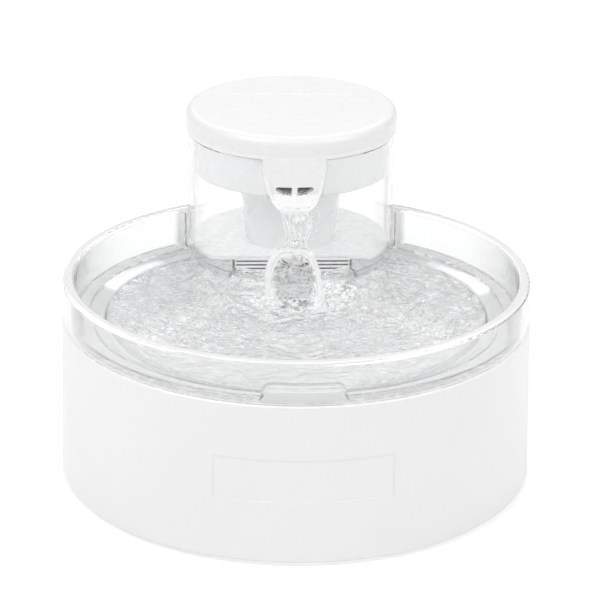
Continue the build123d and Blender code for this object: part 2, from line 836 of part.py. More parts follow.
def ledge_bump():
    """Raised part of the ledge that clears the base's key tab."""
    top = base_height + bump_height
    points = [(-bump_bottom_half, base_height), (bump_bottom_half, base_height),
              (bump_top_half, top), (-bump_top_half, top)]
    bar = upright(points, ((2, bump_corner), (3, bump_corner)), bowl_y - rim_radius, bowl_y)
    middle = (ledge_inner + inner_wall_outer) / 2
    inner = middle - key_depth / 2 - key_fit - bump_wall
    return bar & at_bowl(tube(inner_wall_outer, inner, base_height, top + 1))


def intake_window():
    """Opening low in the tower's front wall, through which the bowl feeds the pump."""
    half = tower_inner * math.sin(math.radians(window_half_angle))
    low = raised_floor + window_sill
    points = [(-half, low), (half, low), (half, window_top), (-half, window_top)]
    reach = tower_inner * math.cos(math.radians(window_half_angle))
    rounds = ((0, window_sill_corner), (1, window_sill_corner), (2, window_corner), (3, window_corner))
    return upright(points, rounds, tower_y - tower_radius - 2, tower_y - reach + 4)


def spout_outline(fit, top):
    """Front outline of the spout in (x, z), grown by a fit."""
    return [(-spout_half_width - fit, top), (-spout_half_width - fit, spout_shoulder),
            (-spout_face_half - fit, spout_foot - fit), (spout_face_half + fit, spout_foot - fit),
            (spout_half_width + fit, spout_shoulder), (spout_half_width + fit, top)]


def spout_rounds():
    """Corners of the spout's outline and their radii."""
    return ((1, spout_shoulder_round), (2, spout_foot_round), (3, spout_foot_round),
            (4, spout_shoulder_round))


def spout_notch():
    """Notch in the tower's front wall that the spout drops into."""
    points = spout_outline(notch_fit, tower_top + 2)
    return upright(points, spout_rounds(), tower_y - tower_radius - 2, tower_y - tower_inner + 6)


def make_bowl():
    """Clear bowl and tower in one moulding."""
    points, rounds = tub_profile()
    tub = at_bowl(turned(points, rounds)) - tower_clearance()
    skirt = at_tower(tube(lobe_outer, lobe_inner, tub_floor - bowl_wall, raised_underside)) & tub_envelope()
    bowl = tub + tower_shell() + skirt
    bowl += corner_web(inner_wall_top, inner_corner_radius, -1)
    bowl += corner_web(rim_radius, outer_corner_radius, 1)
    bowl = bowl + ledge_bump() - key_tab(key_fit)
    boss = at_tower(disc(post_boss_radius, raised_floor - 1, raised_floor + post_boss_height))
    bore = at_tower(disc(post_radius, raised_floor - post_depth, raised_floor + post_boss_height + 1))
    bowl = bowl - intake_window() - spout_notch() + boss - bore
    return one_solid(bowl)


def make_impeller_post():
    """Steel pin that stands in the bowl's boss and carries the impeller."""
    pin = turned([(0, raised_floor - post_depth), (post_radius, raised_floor - post_depth),
                  (post_radius, post_top), (0, post_top)], ((2, post_round),))
    return one_solid(at_tower(pin))


# ---- impeller ----
def make_impeller():
    """Vaned wheel over a cup for its magnet."""
    disc_top = magnet_cup_top + impeller_disc
    wheel = disc(impeller_radius, magnet_cup_top, disc_top)
    wheel += tube(magnet_cup_radius, magnet_ring_radius, impeller_low, magnet_cup_top)
    wheel += disc(impeller_hub_radius, impeller_low, impeller_top)
    for index in range(vane_count):
        vane = block((impeller_hub_radius - 1, impeller_radius),
                     (-vane_thickness / 2, vane_thickness / 2), (disc_top - 0.5, impeller_top - vane_drop))
        wheel += Rot(0, 0, index * 360 / vane_count) * vane
    wheel -= disc(bush_radius, impeller_low - 1, impeller_top + 1)
    return one_solid(at_tower(wheel))


def make_impeller_magnet():
    """Ferrite ring in the impeller's cup, against the wheel's underside."""
    ring = tube(magnet_ring_radius, impeller_hub_radius, magnet_cup_top - magnet_ring_height, magnet_cup_top)
    return one_solid(at_tower(ring))


def make_impeller_bush():
    """Bearing bush that runs on the post."""
    return one_solid(at_tower(tube(bush_radius, post_radius + bush_fit, impeller_low, impeller_top)))


# ---- filter housing ----
def chute_section(reach, low, high, half_low, half_high, corner):
    """Trapezoid across the chute, this far in front of the face, with its lower corners rounded."""
    points = [(-half_low, low), (half_low, low), (half_high, high), (-half_high, high)]
    section = Plane.XZ * outline(points, ((0, corner), (1, corner)))
    return Pos(0, tower_y - flange_radius - reach, 0) * section


def chute_low(index):
    """Underside of the chute at a station."""
    return min(spout_foot, tower_top - chute_floor_drop[index] - chute_floor)


def chute_half_at(index, height):
    """Half width of the chute at a station, at a height on its sloping side."""
    low, high = chute_low(index), tower_top - chute_edge_drop[index]
    slope = (chute_half_high[index] - chute_half_low[index]) / (high - low)
    return chute_half_low[index] + slope * (height - low)


def chute_body():
    """Solid form of the scoop that throws the water forward, narrowing to its lip."""
    sections = []
    for index, reach in enumerate(chute_reach):
        sections.append(chute_section(
            reach, chute_low(index), tower_top - chute_edge_drop[index],
            chute_half_low[index], chute_half_high[index], chute_round[index]))
    return loft(sections, ruled=True)


def chute_hollow():
    """What is open inside the scoop, with no roof over it."""
    sections = []
    for index, reach in enumerate(chute_reach):
        past = weld if reach == chute_reach[-1] else 0
        low = tower_top - chute_floor_drop[index]
        high = tower_top - chute_edge_drop[index] + chute_clear
        sections.append(chute_section(
            reach + past, low, high, chute_half_at(index, low) - chute_side,
            chute_half_at(index, high) - chute_side, chute_round[index] / 2))
    return loft(sections, ruled=True)


def chute_divider():
    """Small rib that parts the two streams where they meet the chute's floor."""
    face_y = tower_y - flange_radius
    tip_y = face_y - chute_reach[divider_end]
    tip = tower_top - chute_floor_drop[divider_end]
    points = [(face_y + weld, outlet_bottom + divider_rise), (face_y + weld, outlet_bottom - weld),
              (tip_y, tip - weld / 2), (tip_y, tip + weld / 4)]
    return extrude(Plane.YZ * outline(points), amount=divider_half, both=True)


def outlet(side):
    """One of the two water outlets: flat on top, with its outer end sloping in below."""
    end_x, end_z = outlet_end
    points = [(side * outlet_inner, outlet_bottom), (side * (outlet_outer - outlet_slant), outlet_bottom),
              (side * outlet_outer, outlet_top - end_z), (side * (outlet_outer - end_x), outlet_top),
              (side * outlet_inner, outlet_top)]
    rounds = ((0, outlet_inner_round), (1, outlet_round), (2, outlet_end_round), (3, outlet_end_round))
    return upright(points, rounds, tower_y - flange_radius - 1, tower_y - tray_inner + 4)


def make_filter_housing():
    """Tray with its flange, the tapered column under it and the spout in front."""
    tray = turned([
        (riser_radius + riser_fit, tray_bottom), (tray_radius, tray_bottom), (tray_radius, tower_top),
        (flange_step_radius, tower_top), (flange_step_radius, flange_low), (flange_radius, flange_low),
        (flange_radius, flange_top), (tray_inner, flange_top), (tray_inner, tray_floor),
        (riser_radius + riser_fit, tray_floor)],
        ((1, 1.6), (5, 0.4), (6, lid_seam)))
    column_top = tray_bottom + tray_wall / 4
    column = turned([(column_bottom_radius - column_wall, drum_top), (column_bottom_radius, drum_top),
                     (column_top_radius, column_top), (column_top_radius - column_wall, column_top)])
    housing = at_tower(tray + column)
    for index in range(rib_count):
        x, y = polar(tray_inner - rib_inset, index * 360 / rib_count)
        housing += Pos(x, tower_y + y, 0) * disc(rib_radius, tray_floor - 0.5, cartridge_low)
    sleeve = at_tower(tube(flange_radius, tray_radius - weld, spout_foot, flange_low + 0.5))
    tongue = upright(spout_outline(0, flange_low + 0.5), spout_rounds(),
                     tower_y - flange_radius - 1, tower_y - tray_inner + 6)
    face = at_tower(disc(flange_radius, 0, lid_top))
    chute = chute_body() - at_tower(disc(tray_radius, 0, lid_top))
    housing = housing + (sleeve & tongue) + chute - (chute_hollow() - face) + chute_divider()
    for side in (-1, 1):
        housing -= outlet(side)
    return one_solid(housing)


def cover_outline(inset):
    """Outline of the drum: round behind the riser, with a flat front."""
    radius = drum_radius - inset
    front = outline([(-radius, 0), (-radius, -radius), (radius, -radius), (radius, 0)],
                    ((1, grille_corner - inset), (2, grille_corner - inset)))
    return Circle(radius) + front


def make_impeller_cover():
    """Drum with a louvred front under a plate that closes the tower, with the pump chamber inside."""
    plate_low = drum_top - drum_wall
    socket = riser_socket
    neck = socket + neck_wall
    drum = prism(cover_outline(0), raised_floor + drum_floor_gap, drum_top)
    radius = tower_inner - cover_plate_fit
    drum += disc(radius, plate_low, drum_top) & block(
        (-radius, radius), (-drum_radius, radius), (plate_low, drum_top))
    drum -= prism(cover_outline(drum_wall), raised_floor, plate_low)
    spigot_outer = column_bottom_radius - column_wall - spigot_fit
    drum += tube(spigot_outer, spigot_outer - drum_wall, drum_top - weld / 2, drum_top + spigot_height)
    drum += disc(neck, riser_bottom, drum_top)
    chamber_inner = chamber_radius - drum_wall
    chamber_low = raised_floor + chamber_lift
    drum += turned([
        (riser_inner, riser_bottom + weld), (neck, riser_bottom + weld), (neck, neck_bottom + weld),
        (chamber_radius, chamber_top), (chamber_radius, chamber_low), (chamber_inner, chamber_low),
        (chamber_inner, chamber_top - drum_wall), (riser_inner, neck_bottom)])
    drum -= disc(socket, riser_bottom, drum_top + spigot_height + weld)
    drum -= disc(riser_inner, neck_bottom - weld, drum_top)
    half = drum_radius - louvre_inset
    for index in range(louvre_count):
        high = drum_top - louvre_drop - index * louvre_pitch
        drum -= block((-half, half), (-drum_radius - weld, drum_wall - drum_radius),
                      (high - louvre_height, high))
    return one_solid(at_tower(drum))


def make_riser_tube():
    """Straight pipe from the pump chamber to the top of the tray."""
    return one_solid(at_tower(tube(riser_radius, riser_inner, riser_bottom, riser_top)))


def make_foam_prefilter():
    """Foam ring between the louvres and the pump chamber."""
    low, high = raised_floor + chamber_lift, drum_top - drum_wall
    ring = prism(cover_outline(drum_wall + foam_fit), low, high)
    return one_solid(at_tower(ring - disc(chamber_radius + foam_fit, low - weld, high + weld)))


# ---- cartridge ----
def flow_holes(radius, low, high):
    """Rings of holes through a filter plate."""
    cuts = []
    for ring, count in enumerate(hole_ring_counts):
        for index in range(count):
            x, y = polar(hole_ring_first + ring * hole_ring_pitch, index * 360 / count)
            cuts.append(Pos(x, y, 0) * disc(radius, low, high))
    return cuts


def make_cartridge_frame():
    """Open pan that holds the filter medium, with a sleeve round the riser."""
    wall = cartridge_wall
    pan = tube(cartridge_outer, cartridge_bore, cartridge_low, cartridge_top)
    floor = cartridge_low + wall
    hollow = tube(cartridge_outer - wall, cartridge_bore + wall, floor, cartridge_top + 1)
    return one_solid(at_tower(pan - hollow - flow_holes(flow_hole_radius, cartridge_low - 1, floor + 1)))


def make_filter_medium():
    """Disc of granular filter medium inside the pan."""
    low = cartridge_low + cartridge_wall
    return one_solid(at_tower(tube(media_outer, media_inner, low, cartridge_top - cap_thickness)))


def make_cartridge_cap():
    """Perforated cap over the medium, with a tab to pull."""
    low = cartridge_top - cap_thickness
    cap = tube(media_outer, media_inner, low, cartridge_top)
    cap = cap - flow_holes(flow_hole_radius, low - 1, cartridge_top + 1)
    tab_y = hole_ring_first + 1.5 * hole_ring_pitch
    rise = block((-tab_width / 2, tab_width / 2), (tab_y - tab_thickness / 2, tab_y + tab_thickness / 2),
                 (low + 0.5, cartridge_top + tab_height))
    return one_solid(at_tower(cap + rise))


# ---- lid ----
def make_lid():
    """Plain cap with a shallow bare recess on top and a ring that centres it in the tray."""
    skirt_inner = flange_radius - lid_wall
    ring_outer = tray_inner - lid_ring_fit
    ring_inner = ring_outer - lid_ring_wall
    ceiling = lid_top - lid_wall
    points = [(0, ceiling), (ring_inner, ceiling), (ring_inner, flange_top - lid_ring_drop),
              (ring_outer, flange_top - lid_ring_drop), (ring_outer, ceiling), (skirt_inner, ceiling),
              (skirt_inner, flange_top), (flange_radius, flange_top), (flange_radius, lid_top), (0, lid_top)]
    cap = turned(points, ((8, lid_round), (7, lid_seam), (5, 1.0)))
    slot = Pos(0, recess_back, lid_top - recess_depth) * extrude(
        RectangleRounded(recess_length, recess_width, recess_corner), amount=recess_depth + 1)
    return one_solid(at_tower(cap - slot))


NODES = {
    "base_shell": make_base_shell,
    "base_floor": make_base_floor,
    "base_screws": make_base_screws,
    "rubber_feet": make_rubber_feet,
    "cord_grommet": make_cord_grommet,
    "motor_cover": make_motor_cover,
    "cover_gasket": make_cover_gasket,
    "cover_screws": make_cover_screws,
    "drive_motor": make_drive_motor,
    "motor_bracket": make_motor_bracket,
    "motor_screws": make_motor_screws,
    "motor_leads": make_motor_leads,
    "circuit_board": make_circuit_board,
    "board_components": make_board_components,
    "board_screws": make_board_screws,
    "motor_shaft": make_motor_shaft,
    "magnet_carrier": make_magnet_carrier,
    "drive_magnets": make_drive_magnets,
    "bowl": make_bowl,
    "impeller_post": make_impeller_post,
    "impeller": make_impeller,
    "impeller_magnet": make_impeller_magnet,
    "impeller_bush": make_impeller_bush,
    "filter_housing": make_filter_housing,
    "impeller_cover": make_impeller_cover,
    "riser_tube": make_riser_tube,
    "foam_prefilter": make_foam_prefilter,
    "cartridge_frame": make_cartridge_frame,
    "filter_medium": make_filter_medium,
    "cartridge_cap": make_cartridge_cap,
    "lid": make_lid,
}

for node_name, make in NODES.items():
    export_step(make(), f"parts/{node_name}.step")
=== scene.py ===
"""Looks of the pet water fountain: materials for every CAD node, and the water that runs through it."""
import bpy
import bmesh
import math
import numpy as np
from mathutils import Matrix, Vector
from mathutils.geometry import delaunay_2d_cdt


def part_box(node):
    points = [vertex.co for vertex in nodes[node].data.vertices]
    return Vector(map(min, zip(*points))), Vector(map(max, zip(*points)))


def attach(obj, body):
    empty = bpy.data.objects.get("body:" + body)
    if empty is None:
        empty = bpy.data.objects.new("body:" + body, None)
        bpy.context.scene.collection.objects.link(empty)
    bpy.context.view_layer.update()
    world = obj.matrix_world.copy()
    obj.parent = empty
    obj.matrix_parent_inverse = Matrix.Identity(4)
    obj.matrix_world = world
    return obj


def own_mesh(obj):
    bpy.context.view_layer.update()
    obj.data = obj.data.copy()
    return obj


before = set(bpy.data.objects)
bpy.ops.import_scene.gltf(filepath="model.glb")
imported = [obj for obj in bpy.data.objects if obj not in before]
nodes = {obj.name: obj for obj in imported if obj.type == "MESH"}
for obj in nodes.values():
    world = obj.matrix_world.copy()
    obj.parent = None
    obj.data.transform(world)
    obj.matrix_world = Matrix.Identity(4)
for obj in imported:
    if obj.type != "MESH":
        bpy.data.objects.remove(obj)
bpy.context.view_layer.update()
scene = bpy.context.scene
scene.view_settings.view_transform = "Standard"
MM = 0.001

# ---- places in the row frame, in millimetres ----
lid_low, lid_high = (np.array(v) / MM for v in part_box("lid"))
bowl_low, bowl_high = (np.array(v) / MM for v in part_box("bowl"))
tower_y = (lid_low[1] + lid_high[1]) / 2
rim_radius = (bowl_high[0] - bowl_low[0]) / 2
bowl_y = bowl_low[1] + rim_radius
rim_top = 120.8
ring_radius = 134.0           # the base's top ring, under the bowl's ledge
corner_x, corner_y = 63.0, 95.0   # where the bowl's wall meets the tower's
panel_low, panel_high = 38.7, 64.0    # the bare panel in the base's front
panel_half = math.radians(21.8)
pool_z = 95.2                 # still water level
pool_radius = 109.9           # at that level, just inside the tub's wall
pool_foot = 105.0             # and at the tub's floor
tub_floor = 14.2
tub_fillet = 9.2
tower_out = 60.55             # just outside the tower's wall below the seam
tower_in = 57.85              # and just inside it
drum_half = 35.7              # the pump cover: round behind, square in front
drum_corner = 3.0
drum_fit = 0.35
cover_plate_low = 102.3       # just under the plate that closes the tower
well_floor = 38.2
sill = 41.2
window_half = math.radians(37.4)
impact = np.array([0.5, 6.0])     # where the bell meets the pool
lip_z = 147.2                 # the chute's lip
bell_x, bell_z = -0.7, 105.0  # middle of the bell's film, and its half sizes
bell_wide, bell_high = 12.8, 17.2
fine_high, long_high = 0.12, 0.45     # heights of the fine and the long ripples
churn_high, churn_reach = 1.15, 24.0  # the churned water round the bell's foot
wave_high, wave_reach = 0.45, 45.0    # and the waves that run out from it
wave_length = 7.5
meniscus = 1.1
bubble_count = 260

# ---- looks ----
middle = (0.0, 20.0 * MM, 50.0 * MM)  # of the fountain: a face that points away from it is an outer one
white = (0.905, 0.907, 0.909)
# the next white is the same white, made darker for the lid, whose top gets the most light: painted shade
white_shaded_copy = (0.88, 0.882, 0.884)
floor_glow = 0.365            # added to the floor for the camera, mirrors and glass


# ---- node helpers ----
def material(name):
    """Empty node material with its output."""
    m = bpy.data.materials.new(name)
    m.use_nodes = True
    m.node_tree.nodes.clear()
    out = m.node_tree.nodes.new("ShaderNodeOutputMaterial")
    return m, m.node_tree.nodes, m.node_tree.links, out


def feed(ls, sockets, values):
    """Links or sets each socket."""
    for socket, value in zip(sockets, values):
        if isinstance(value, bpy.types.NodeSocket):
            ls.new(value, socket)
        else:
            socket.default_value = value


def maths(ns, ls, operation, *values):
    n = ns.new("ShaderNodeMath")
    n.operation = operation
    feed(ls, n.inputs, values)
    return n.outputs[0]


def vectors(ns, ls, operation, *values):
    """Vector maths; gives a number where the operation makes one."""
    n = ns.new("ShaderNodeVectorMath")
    n.operation = operation
    feed(ls, n.inputs, values)
    return n.outputs["Value" if operation in ("LENGTH", "DISTANCE", "DOT_PRODUCT") else "Vector"]


def dimmed(ns, ls, colour, kept):
    """Colour times the share of it that is kept."""
    n = ns.new("ShaderNodeVectorMath")
    n.operation = "SCALE"
    feed(ls, (n.inputs[0], n.inputs["Scale"]), (colour, kept))
    return n.outputs["Vector"]


def mixed(ns, ls, share, first, second):
    """Mix of two shaders."""
    mix = ns.new("ShaderNodeMixShader")
    feed(ls, mix.inputs, (share, first, second))
    return mix.outputs["Shader"]


def rays(ns, ls, *kinds):
    """1 for rays of these kinds, 0 for others."""
    path = ns.new("ShaderNodeLightPath")
    found = path.outputs[kinds[0]]
    for kind in kinds[1:]:
        found = maths(ns, ls, "MAXIMUM", found, path.outputs[kind])
    return found


def place(ns, ls):
    """Place on the object: as a vector, and as x, y and z, in metres."""
    vector = ns.new("ShaderNodeTexCoord").outputs["Object"]
    xyz = ns.new("ShaderNodeSeparateXYZ")
    ls.new(vector, xyz.inputs[0])
    return vector, xyz.outputs["X"], xyz.outputs["Y"], xyz.outputs["Z"]


def ease(ns, ls, source, start, end, low=0.0, high=1.0, smooth=True):
    """Smooth or straight step of a value between two places."""
    r = ns.new("ShaderNodeMapRange")
    if smooth:
        r.interpolation_type = "SMOOTHSTEP"
    feed(ls, [r.inputs[k] for k in ("Value", "From Min", "From Max", "To Min", "To Max")],
         (source, start, end, low, high))
    return r.outputs["Result"]


def band(ns, ls, source, start, end, low=0.0, high=1.0):
    """The same step, with its places in millimetres."""
    return ease(ns, ls, source, start * MM, end * MM, low, high)


def times(ns, ls, a, b):
    return maths(ns, ls, "MULTIPLY", a, b)


def spread(ns, ls, source, low, high):
    """Maps a noise value from 0.3..0.7 to a range."""
    return ease(ns, ls, source, 0.3, 0.7, low, high, smooth=False)


def noise_node(ns, ls, scale, detail, rough=0.5, stretch=None):
    """Noise in object space; the scale is in features per metre."""
    source = ns.new("ShaderNodeTexCoord").outputs["Object"]
    if stretch is not None:
        mapping = ns.new("ShaderNodeMapping")
        mapping.inputs["Scale"].default_value = stretch
        ls.new(source, mapping.inputs["Vector"])
        source = mapping.outputs["Vector"]
    n = ns.new("ShaderNodeTexNoise")
    feed(ls, [n.inputs[k] for k in ("Vector", "Scale", "Detail", "Roughness")],
         (source, scale, detail, rough))
    return n.outputs["Fac"]


def voronoi_node(ns, ls, scale, feature="F1"):
    n = ns.new("ShaderNodeTexVoronoi")
    n.feature = feature
    source = ns.new("ShaderNodeTexCoord").outputs["Object"]
    feed(ls, (n.inputs["Vector"], n.inputs["Scale"]), (source, scale))
    return n


def ramp(ns, ls, source, stops):
    """Colour ramp over a value; stops are (place, (r, g, b))."""
    r = ns.new("ShaderNodeValToRGB")
    while len(r.color_ramp.elements) < len(stops):
        r.color_ramp.elements.new(0.5)
    for element, (at, colour) in zip(r.color_ramp.elements, stops):
        element.position = at
        element.color = (*colour, 1.0)
    ls.new(source, r.inputs["Fac"])
    return r.outputs["Color"]


def drift(ns, ls, source, colour, down, up, low=0.3):
    """Colour that drifts a little darker and lighter with a noise value."""
    return ramp(ns, ls, source, [(low, shaded(colour, -down)), (0.7, shaded(colour, up))])


def bump(ns, ls, height, distance, strength, normal=None):
    b = ns.new("ShaderNodeBump")
    feed(ls, [b.inputs[k] for k in ("Strength", "Distance", "Height")], (strength, distance, height))
    if normal is not None:
        ls.new(normal, b.inputs["Normal"])
    return b.outputs["Normal"]


def shaded(c, amount):
    return tuple(max(0.0, min(1.0, v * (1 + amount))) for v in c)


def let_light_in(ns, ls, shader, amount, skin, glowing):
    """Thin white walls pass some of the light: shadow rays, and in a glowing wall diffuse rays as well, go
    partly through, and less so through faces that look outwards, which get the amount of the skin."""
    off = vectors(ns, ls, "SUBTRACT", place(ns, ls)[0], middle)
    outward = vectors(ns, ls, "DOT_PRODUCT", off, ns.new("ShaderNodeNewGeometry").outputs["True Normal"])
    share = ease(ns, ls, outward, -MM, MM, amount, skin, smooth=False)
    kinds = ("Is Shadow Ray", "Is Diffuse Ray") if glowing else ("Is Shadow Ray",)
    passing = ns.new("ShaderNodeBsdfTransparent").outputs["BSDF"]
    return mixed(ns, ls, times(ns, ls, rays(ns, ls, *kinds), share), shader, passing)


def plastic(name, colour, rough, vary, grain, grain_scale, flow=0.0, thin=None, shade=None):
    """Moulded plastic: slight tone drift, uneven gloss, fine spark-eroded grain and, where flow is given,
    faint long waves. thin is what let_light_in takes; shade(ns, ls, tone) darkens places."""
    m, ns, ls, out = material(name)
    p = ns.new("ShaderNodeBsdfPrincipled")
    tone = drift(ns, ls, noise_node(ns, ls, 14.0, 2.0, 0.45), colour, vary, vary)
    if shade is not None:
        tone = shade(ns, ls, tone)
    ls.new(tone, p.inputs["Base Color"])
    wear = noise_node(ns, ls, 90.0, 4.0, 0.6)
    ls.new(spread(ns, ls, wear, rough * 0.86, rough * 1.14), p.inputs["Roughness"])
    normal = bump(ns, ls, noise_node(ns, ls, grain_scale, 2.0, 0.6), grain, 0.6)
    if flow:
        normal = bump(ns, ls, noise_node(ns, ls, 22.0, 1.0, 0.4), flow, 0.5, normal)
    ls.new(normal, p.inputs["Normal"])
    shader = p.outputs["BSDF"]
    if thin is not None:
        shader = let_light_in(ns, ls, shader, *thin)
    ls.new(shader, out.inputs["Surface"])
    return m


def metal(name, colour, rough, stretch, scale=500.0):
    """Brushed or ground metal with directional scratches and cloudy tone."""
    m, ns, ls, out = material(name)
    p = ns.new("ShaderNodeBsdfPrincipled")
    p.inputs["Metallic"].default_value = 1.0
    lines = noise_node(ns, ls, scale, 4.0, 0.65, stretch)
    ls.new(drift(ns, ls, noise_node(ns, ls, 120.0, 3.0), colour, 0.08, 0.05), p.inputs["Base Color"])
    ls.new(spread(ns, ls, lines, rough * 0.7, rough * 1.3), p.inputs["Roughness"])
    ls.new(bump(ns, ls, lines, 0.00002, 0.5), p.inputs["Normal"])
    ls.new(p.outputs["BSDF"], out.inputs["Surface"])
    return m


def rubber(name, colour):
    """Soft rubber with dust and a fine matt skin."""
    m, ns, ls, out = material(name)
    p = ns.new("ShaderNodeBsdfPrincipled")
    ls.new(drift(ns, ls, noise_node(ns, ls, 60.0, 5.0, 0.6), colour, 0.1, 0.18, 0.35), p.inputs["Base Color"])
    fine = noise_node(ns, ls, 2600.0, 3.0, 0.7)
    ls.new(spread(ns, ls, fine, 0.62, 0.86), p.inputs["Roughness"])
    ls.new(bump(ns, ls, fine, 0.00005, 0.6), p.inputs["Normal"])
    p.inputs["Specular IOR Level"].default_value = 0.3
    ls.new(p.outputs["BSDF"], out.inputs["Surface"])
    return m


def foam(name):
    """Open-cell filter foam: lighter struts, and painted shade that darkens the cell mouths between them."""
    m, ns, ls, out = material(name)
    p = ns.new("ShaderNodeBsdfPrincipled")
    cells = voronoi_node(ns, ls, 900.0, "DISTANCE_TO_EDGE")
    # painted shade: darker towards the middle of each cell mouth
    tone = ramp(ns, ls, cells.outputs["Distance"],
                [(0.0, (0.20, 0.20, 0.21)), (0.12, (0.09, 0.09, 0.095)), (0.4, (0.02, 0.02, 0.02))])
    ls.new(tone, p.inputs["Base Color"])
    mouths = ramp(ns, ls, cells.outputs["Distance"], [(0.0, (1, 1, 1)), (0.35, (0, 0, 0))])
    ls.new(bump(ns, ls, mouths, 0.0006, 1.0), p.inputs["Normal"])
    p.inputs["Roughness"].default_value = 0.9
    ls.new(p.outputs["BSDF"], out.inputs["Surface"])
    return m


def granules(name):
    """Packed carbon granules: faceted, each with its own dark tone and glint."""
    m, ns, ls, out = material(name)
    p = ns.new("ShaderNodeBsdfPrincipled")
    grain = voronoi_node(ns, ls, 700.0)
    tone = ramp(ns, ls, grain.outputs["Color"], [(0.0, (0.015, 0.015, 0.016)), (1.0, (0.10, 0.10, 0.105))])
    ls.new(tone, p.inputs["Base Color"])
    ls.new(spread(ns, ls, grain.outputs["Color"], 0.35, 0.8), p.inputs["Roughness"])
    ls.new(bump(ns, ls, grain.outputs["Distance"], 0.0008, 1.0), p.inputs["Normal"])
    ls.new(p.outputs["BSDF"], out.inputs["Surface"])
    return m


def board_mask(name):
    """Solder mask with the faint relief of tracks under it."""
    m, ns, ls, out = material(name)
    p = ns.new("ShaderNodeBsdfPrincipled")
    tracks = ns.new("ShaderNodeTexBrick")
    tracks.inputs["Scale"].default_value = 160.0
    tracks.inputs["Mortar Size"].default_value = 0.03
    tracks.inputs["Color1"].default_value = (0.012, 0.115, 0.045, 1)
    tracks.inputs["Color2"].default_value = (0.018, 0.15, 0.06, 1)
    tracks.inputs["Mortar"].default_value = (0.03, 0.22, 0.09, 1)
    coords = ns.new("ShaderNodeTexCoord")
    ls.new(coords.outputs["Object"], tracks.inputs["Vector"])
    ls.new(tracks.outputs["Color"], p.inputs["Base Color"])
    ls.new(bump(ns, ls, tracks.outputs["Fac"], 0.00006, 0.6), p.inputs["Normal"])
    p.inputs["Roughness"].default_value = 0.28
    ls.new(p.outputs["BSDF"], out.inputs["Surface"])
    return m


def ring_waves(ns, ls, x, y, scale, broken):
    """Waves in rings round a spot given in metres, broken up by noise."""
    mapping = ns.new("ShaderNodeMapping")
    feed(ls, (mapping.inputs["Vector"], mapping.inputs["Location"]), (place(ns, ls)[0], (-x, -y, 0)))
    w = ns.new("ShaderNodeTexWave")
    w.wave_type = "RINGS"
    w.rings_direction = "Z"
    names = ("Vector", "Scale", "Distortion", "Detail", "Detail Scale", "Detail Roughness")
    feed(ls, [w.inputs[k] for k in names], (mapping.outputs["Vector"], scale, broken, 3.0, 1.6, 0.62))
    return w.outputs["Fac"]


def milky_and_painted_streaks(ns, ls, p):
    """Fine air in the churned water: rings and patches that scatter some light and also serve as painted
    streaks of light on the pool. Gives the share of the tint that is kept, which is less towards the front of
    the pool."""
    rings = ring_waves(ns, ls, 0.001, 0.006, 24.0, 13.0)
    spots = noise_node(ns, ls, 95.0, 3.0, 0.55, (0.6, 1.5, 1))
    both = times(ns, ls, rings, spread(ns, ls, spots, 0.3, 1.0))
    # painted light: the rings and patches whiten the water in streaks
    ls.new(ease(ns, ls, both, 0.0, 1.0, 0.93, 0.62, smooth=False), p.inputs["Transmission Weight"])
    # darker towards the front of the pool
    return band(ns, ls, place(ns, ls)[2], -120.0, -45.0, 0.84, 1.0)


def slot_shade(ns, ls, tone):
    """Painted shade in the slots of the pump cover's grille: darkens their walls."""
    y, z = place(ns, ls)[2:]
    grille = tower_y - drum_half
    deep = band(ns, ls, y, grille + 0.2, grille + 0.5)
    near = band(ns, ls, y, grille + 4.0, grille + 5.0, 1.0, 0.0)
    under = band(ns, ls, z, cover_plate_low - 0.3, cover_plate_low + 0.3, 1.0, 0.0)
    mask = times(ns, ls, times(ns, ls, deep, near), under)
    return dimmed(ns, ls, tone, ease(ns, ls, mask, 0.0, 1.0, 1.0, 0.12))


def panel_shade(ns, ls, tone):
    """Soft contact shade along the top and the sides of the bare panel's recess in the base's front, and on
    the ring under the bowl's ledge."""
    x, y, z = place(ns, ls)[1:]
    front = maths(ns, ls, "SUBTRACT", bowl_y * MM, y)
    apart = maths(ns, ls, "ABSOLUTE", maths(ns, ls, "ARCTAN2", x, front))
    degree = math.radians(1)
    within = ease(ns, ls, apart, panel_half - 0.2 * degree, panel_half + 0.05 * degree, 1.0, 0.0)
    below = band(ns, ls, z, panel_high - 0.3, panel_high + 0.1, 1.0, 0.0)
    above = band(ns, ls, z, panel_low - 0.2, panel_low + 0.5)
    top = times(ns, ls, band(ns, ls, z, panel_high - 2.4, panel_high - 0.6), within)
    sides = times(ns, ls, ease(ns, ls, apart, panel_half - 0.9 * degree, panel_half - 0.3 * degree), within)
    mask = times(ns, ls, maths(ns, ls, "MAXIMUM", top, sides), times(ns, ls, below, above))
    flat = ns.new("ShaderNodeCombineXYZ")
    feed(ls, flat.inputs, (x, front))
    radius = vectors(ns, ls, "LENGTH", flat.outputs[0])
    ring = times(ns, ls, band(ns, ls, radius, ring_radius - 0.5, ring_radius + 0.5, 1.0, 0.0),
                 band(ns, ls, z, 88.0, 93.5))
    kept = times(ns, ls, ease(ns, ls, mask, 0.0, 1.0, 1.0, 0.945), ease(ns, ls, ring, 0.0, 1.0, 1.0, 0.80))
    return dimmed(ns, ls, tone, kept)


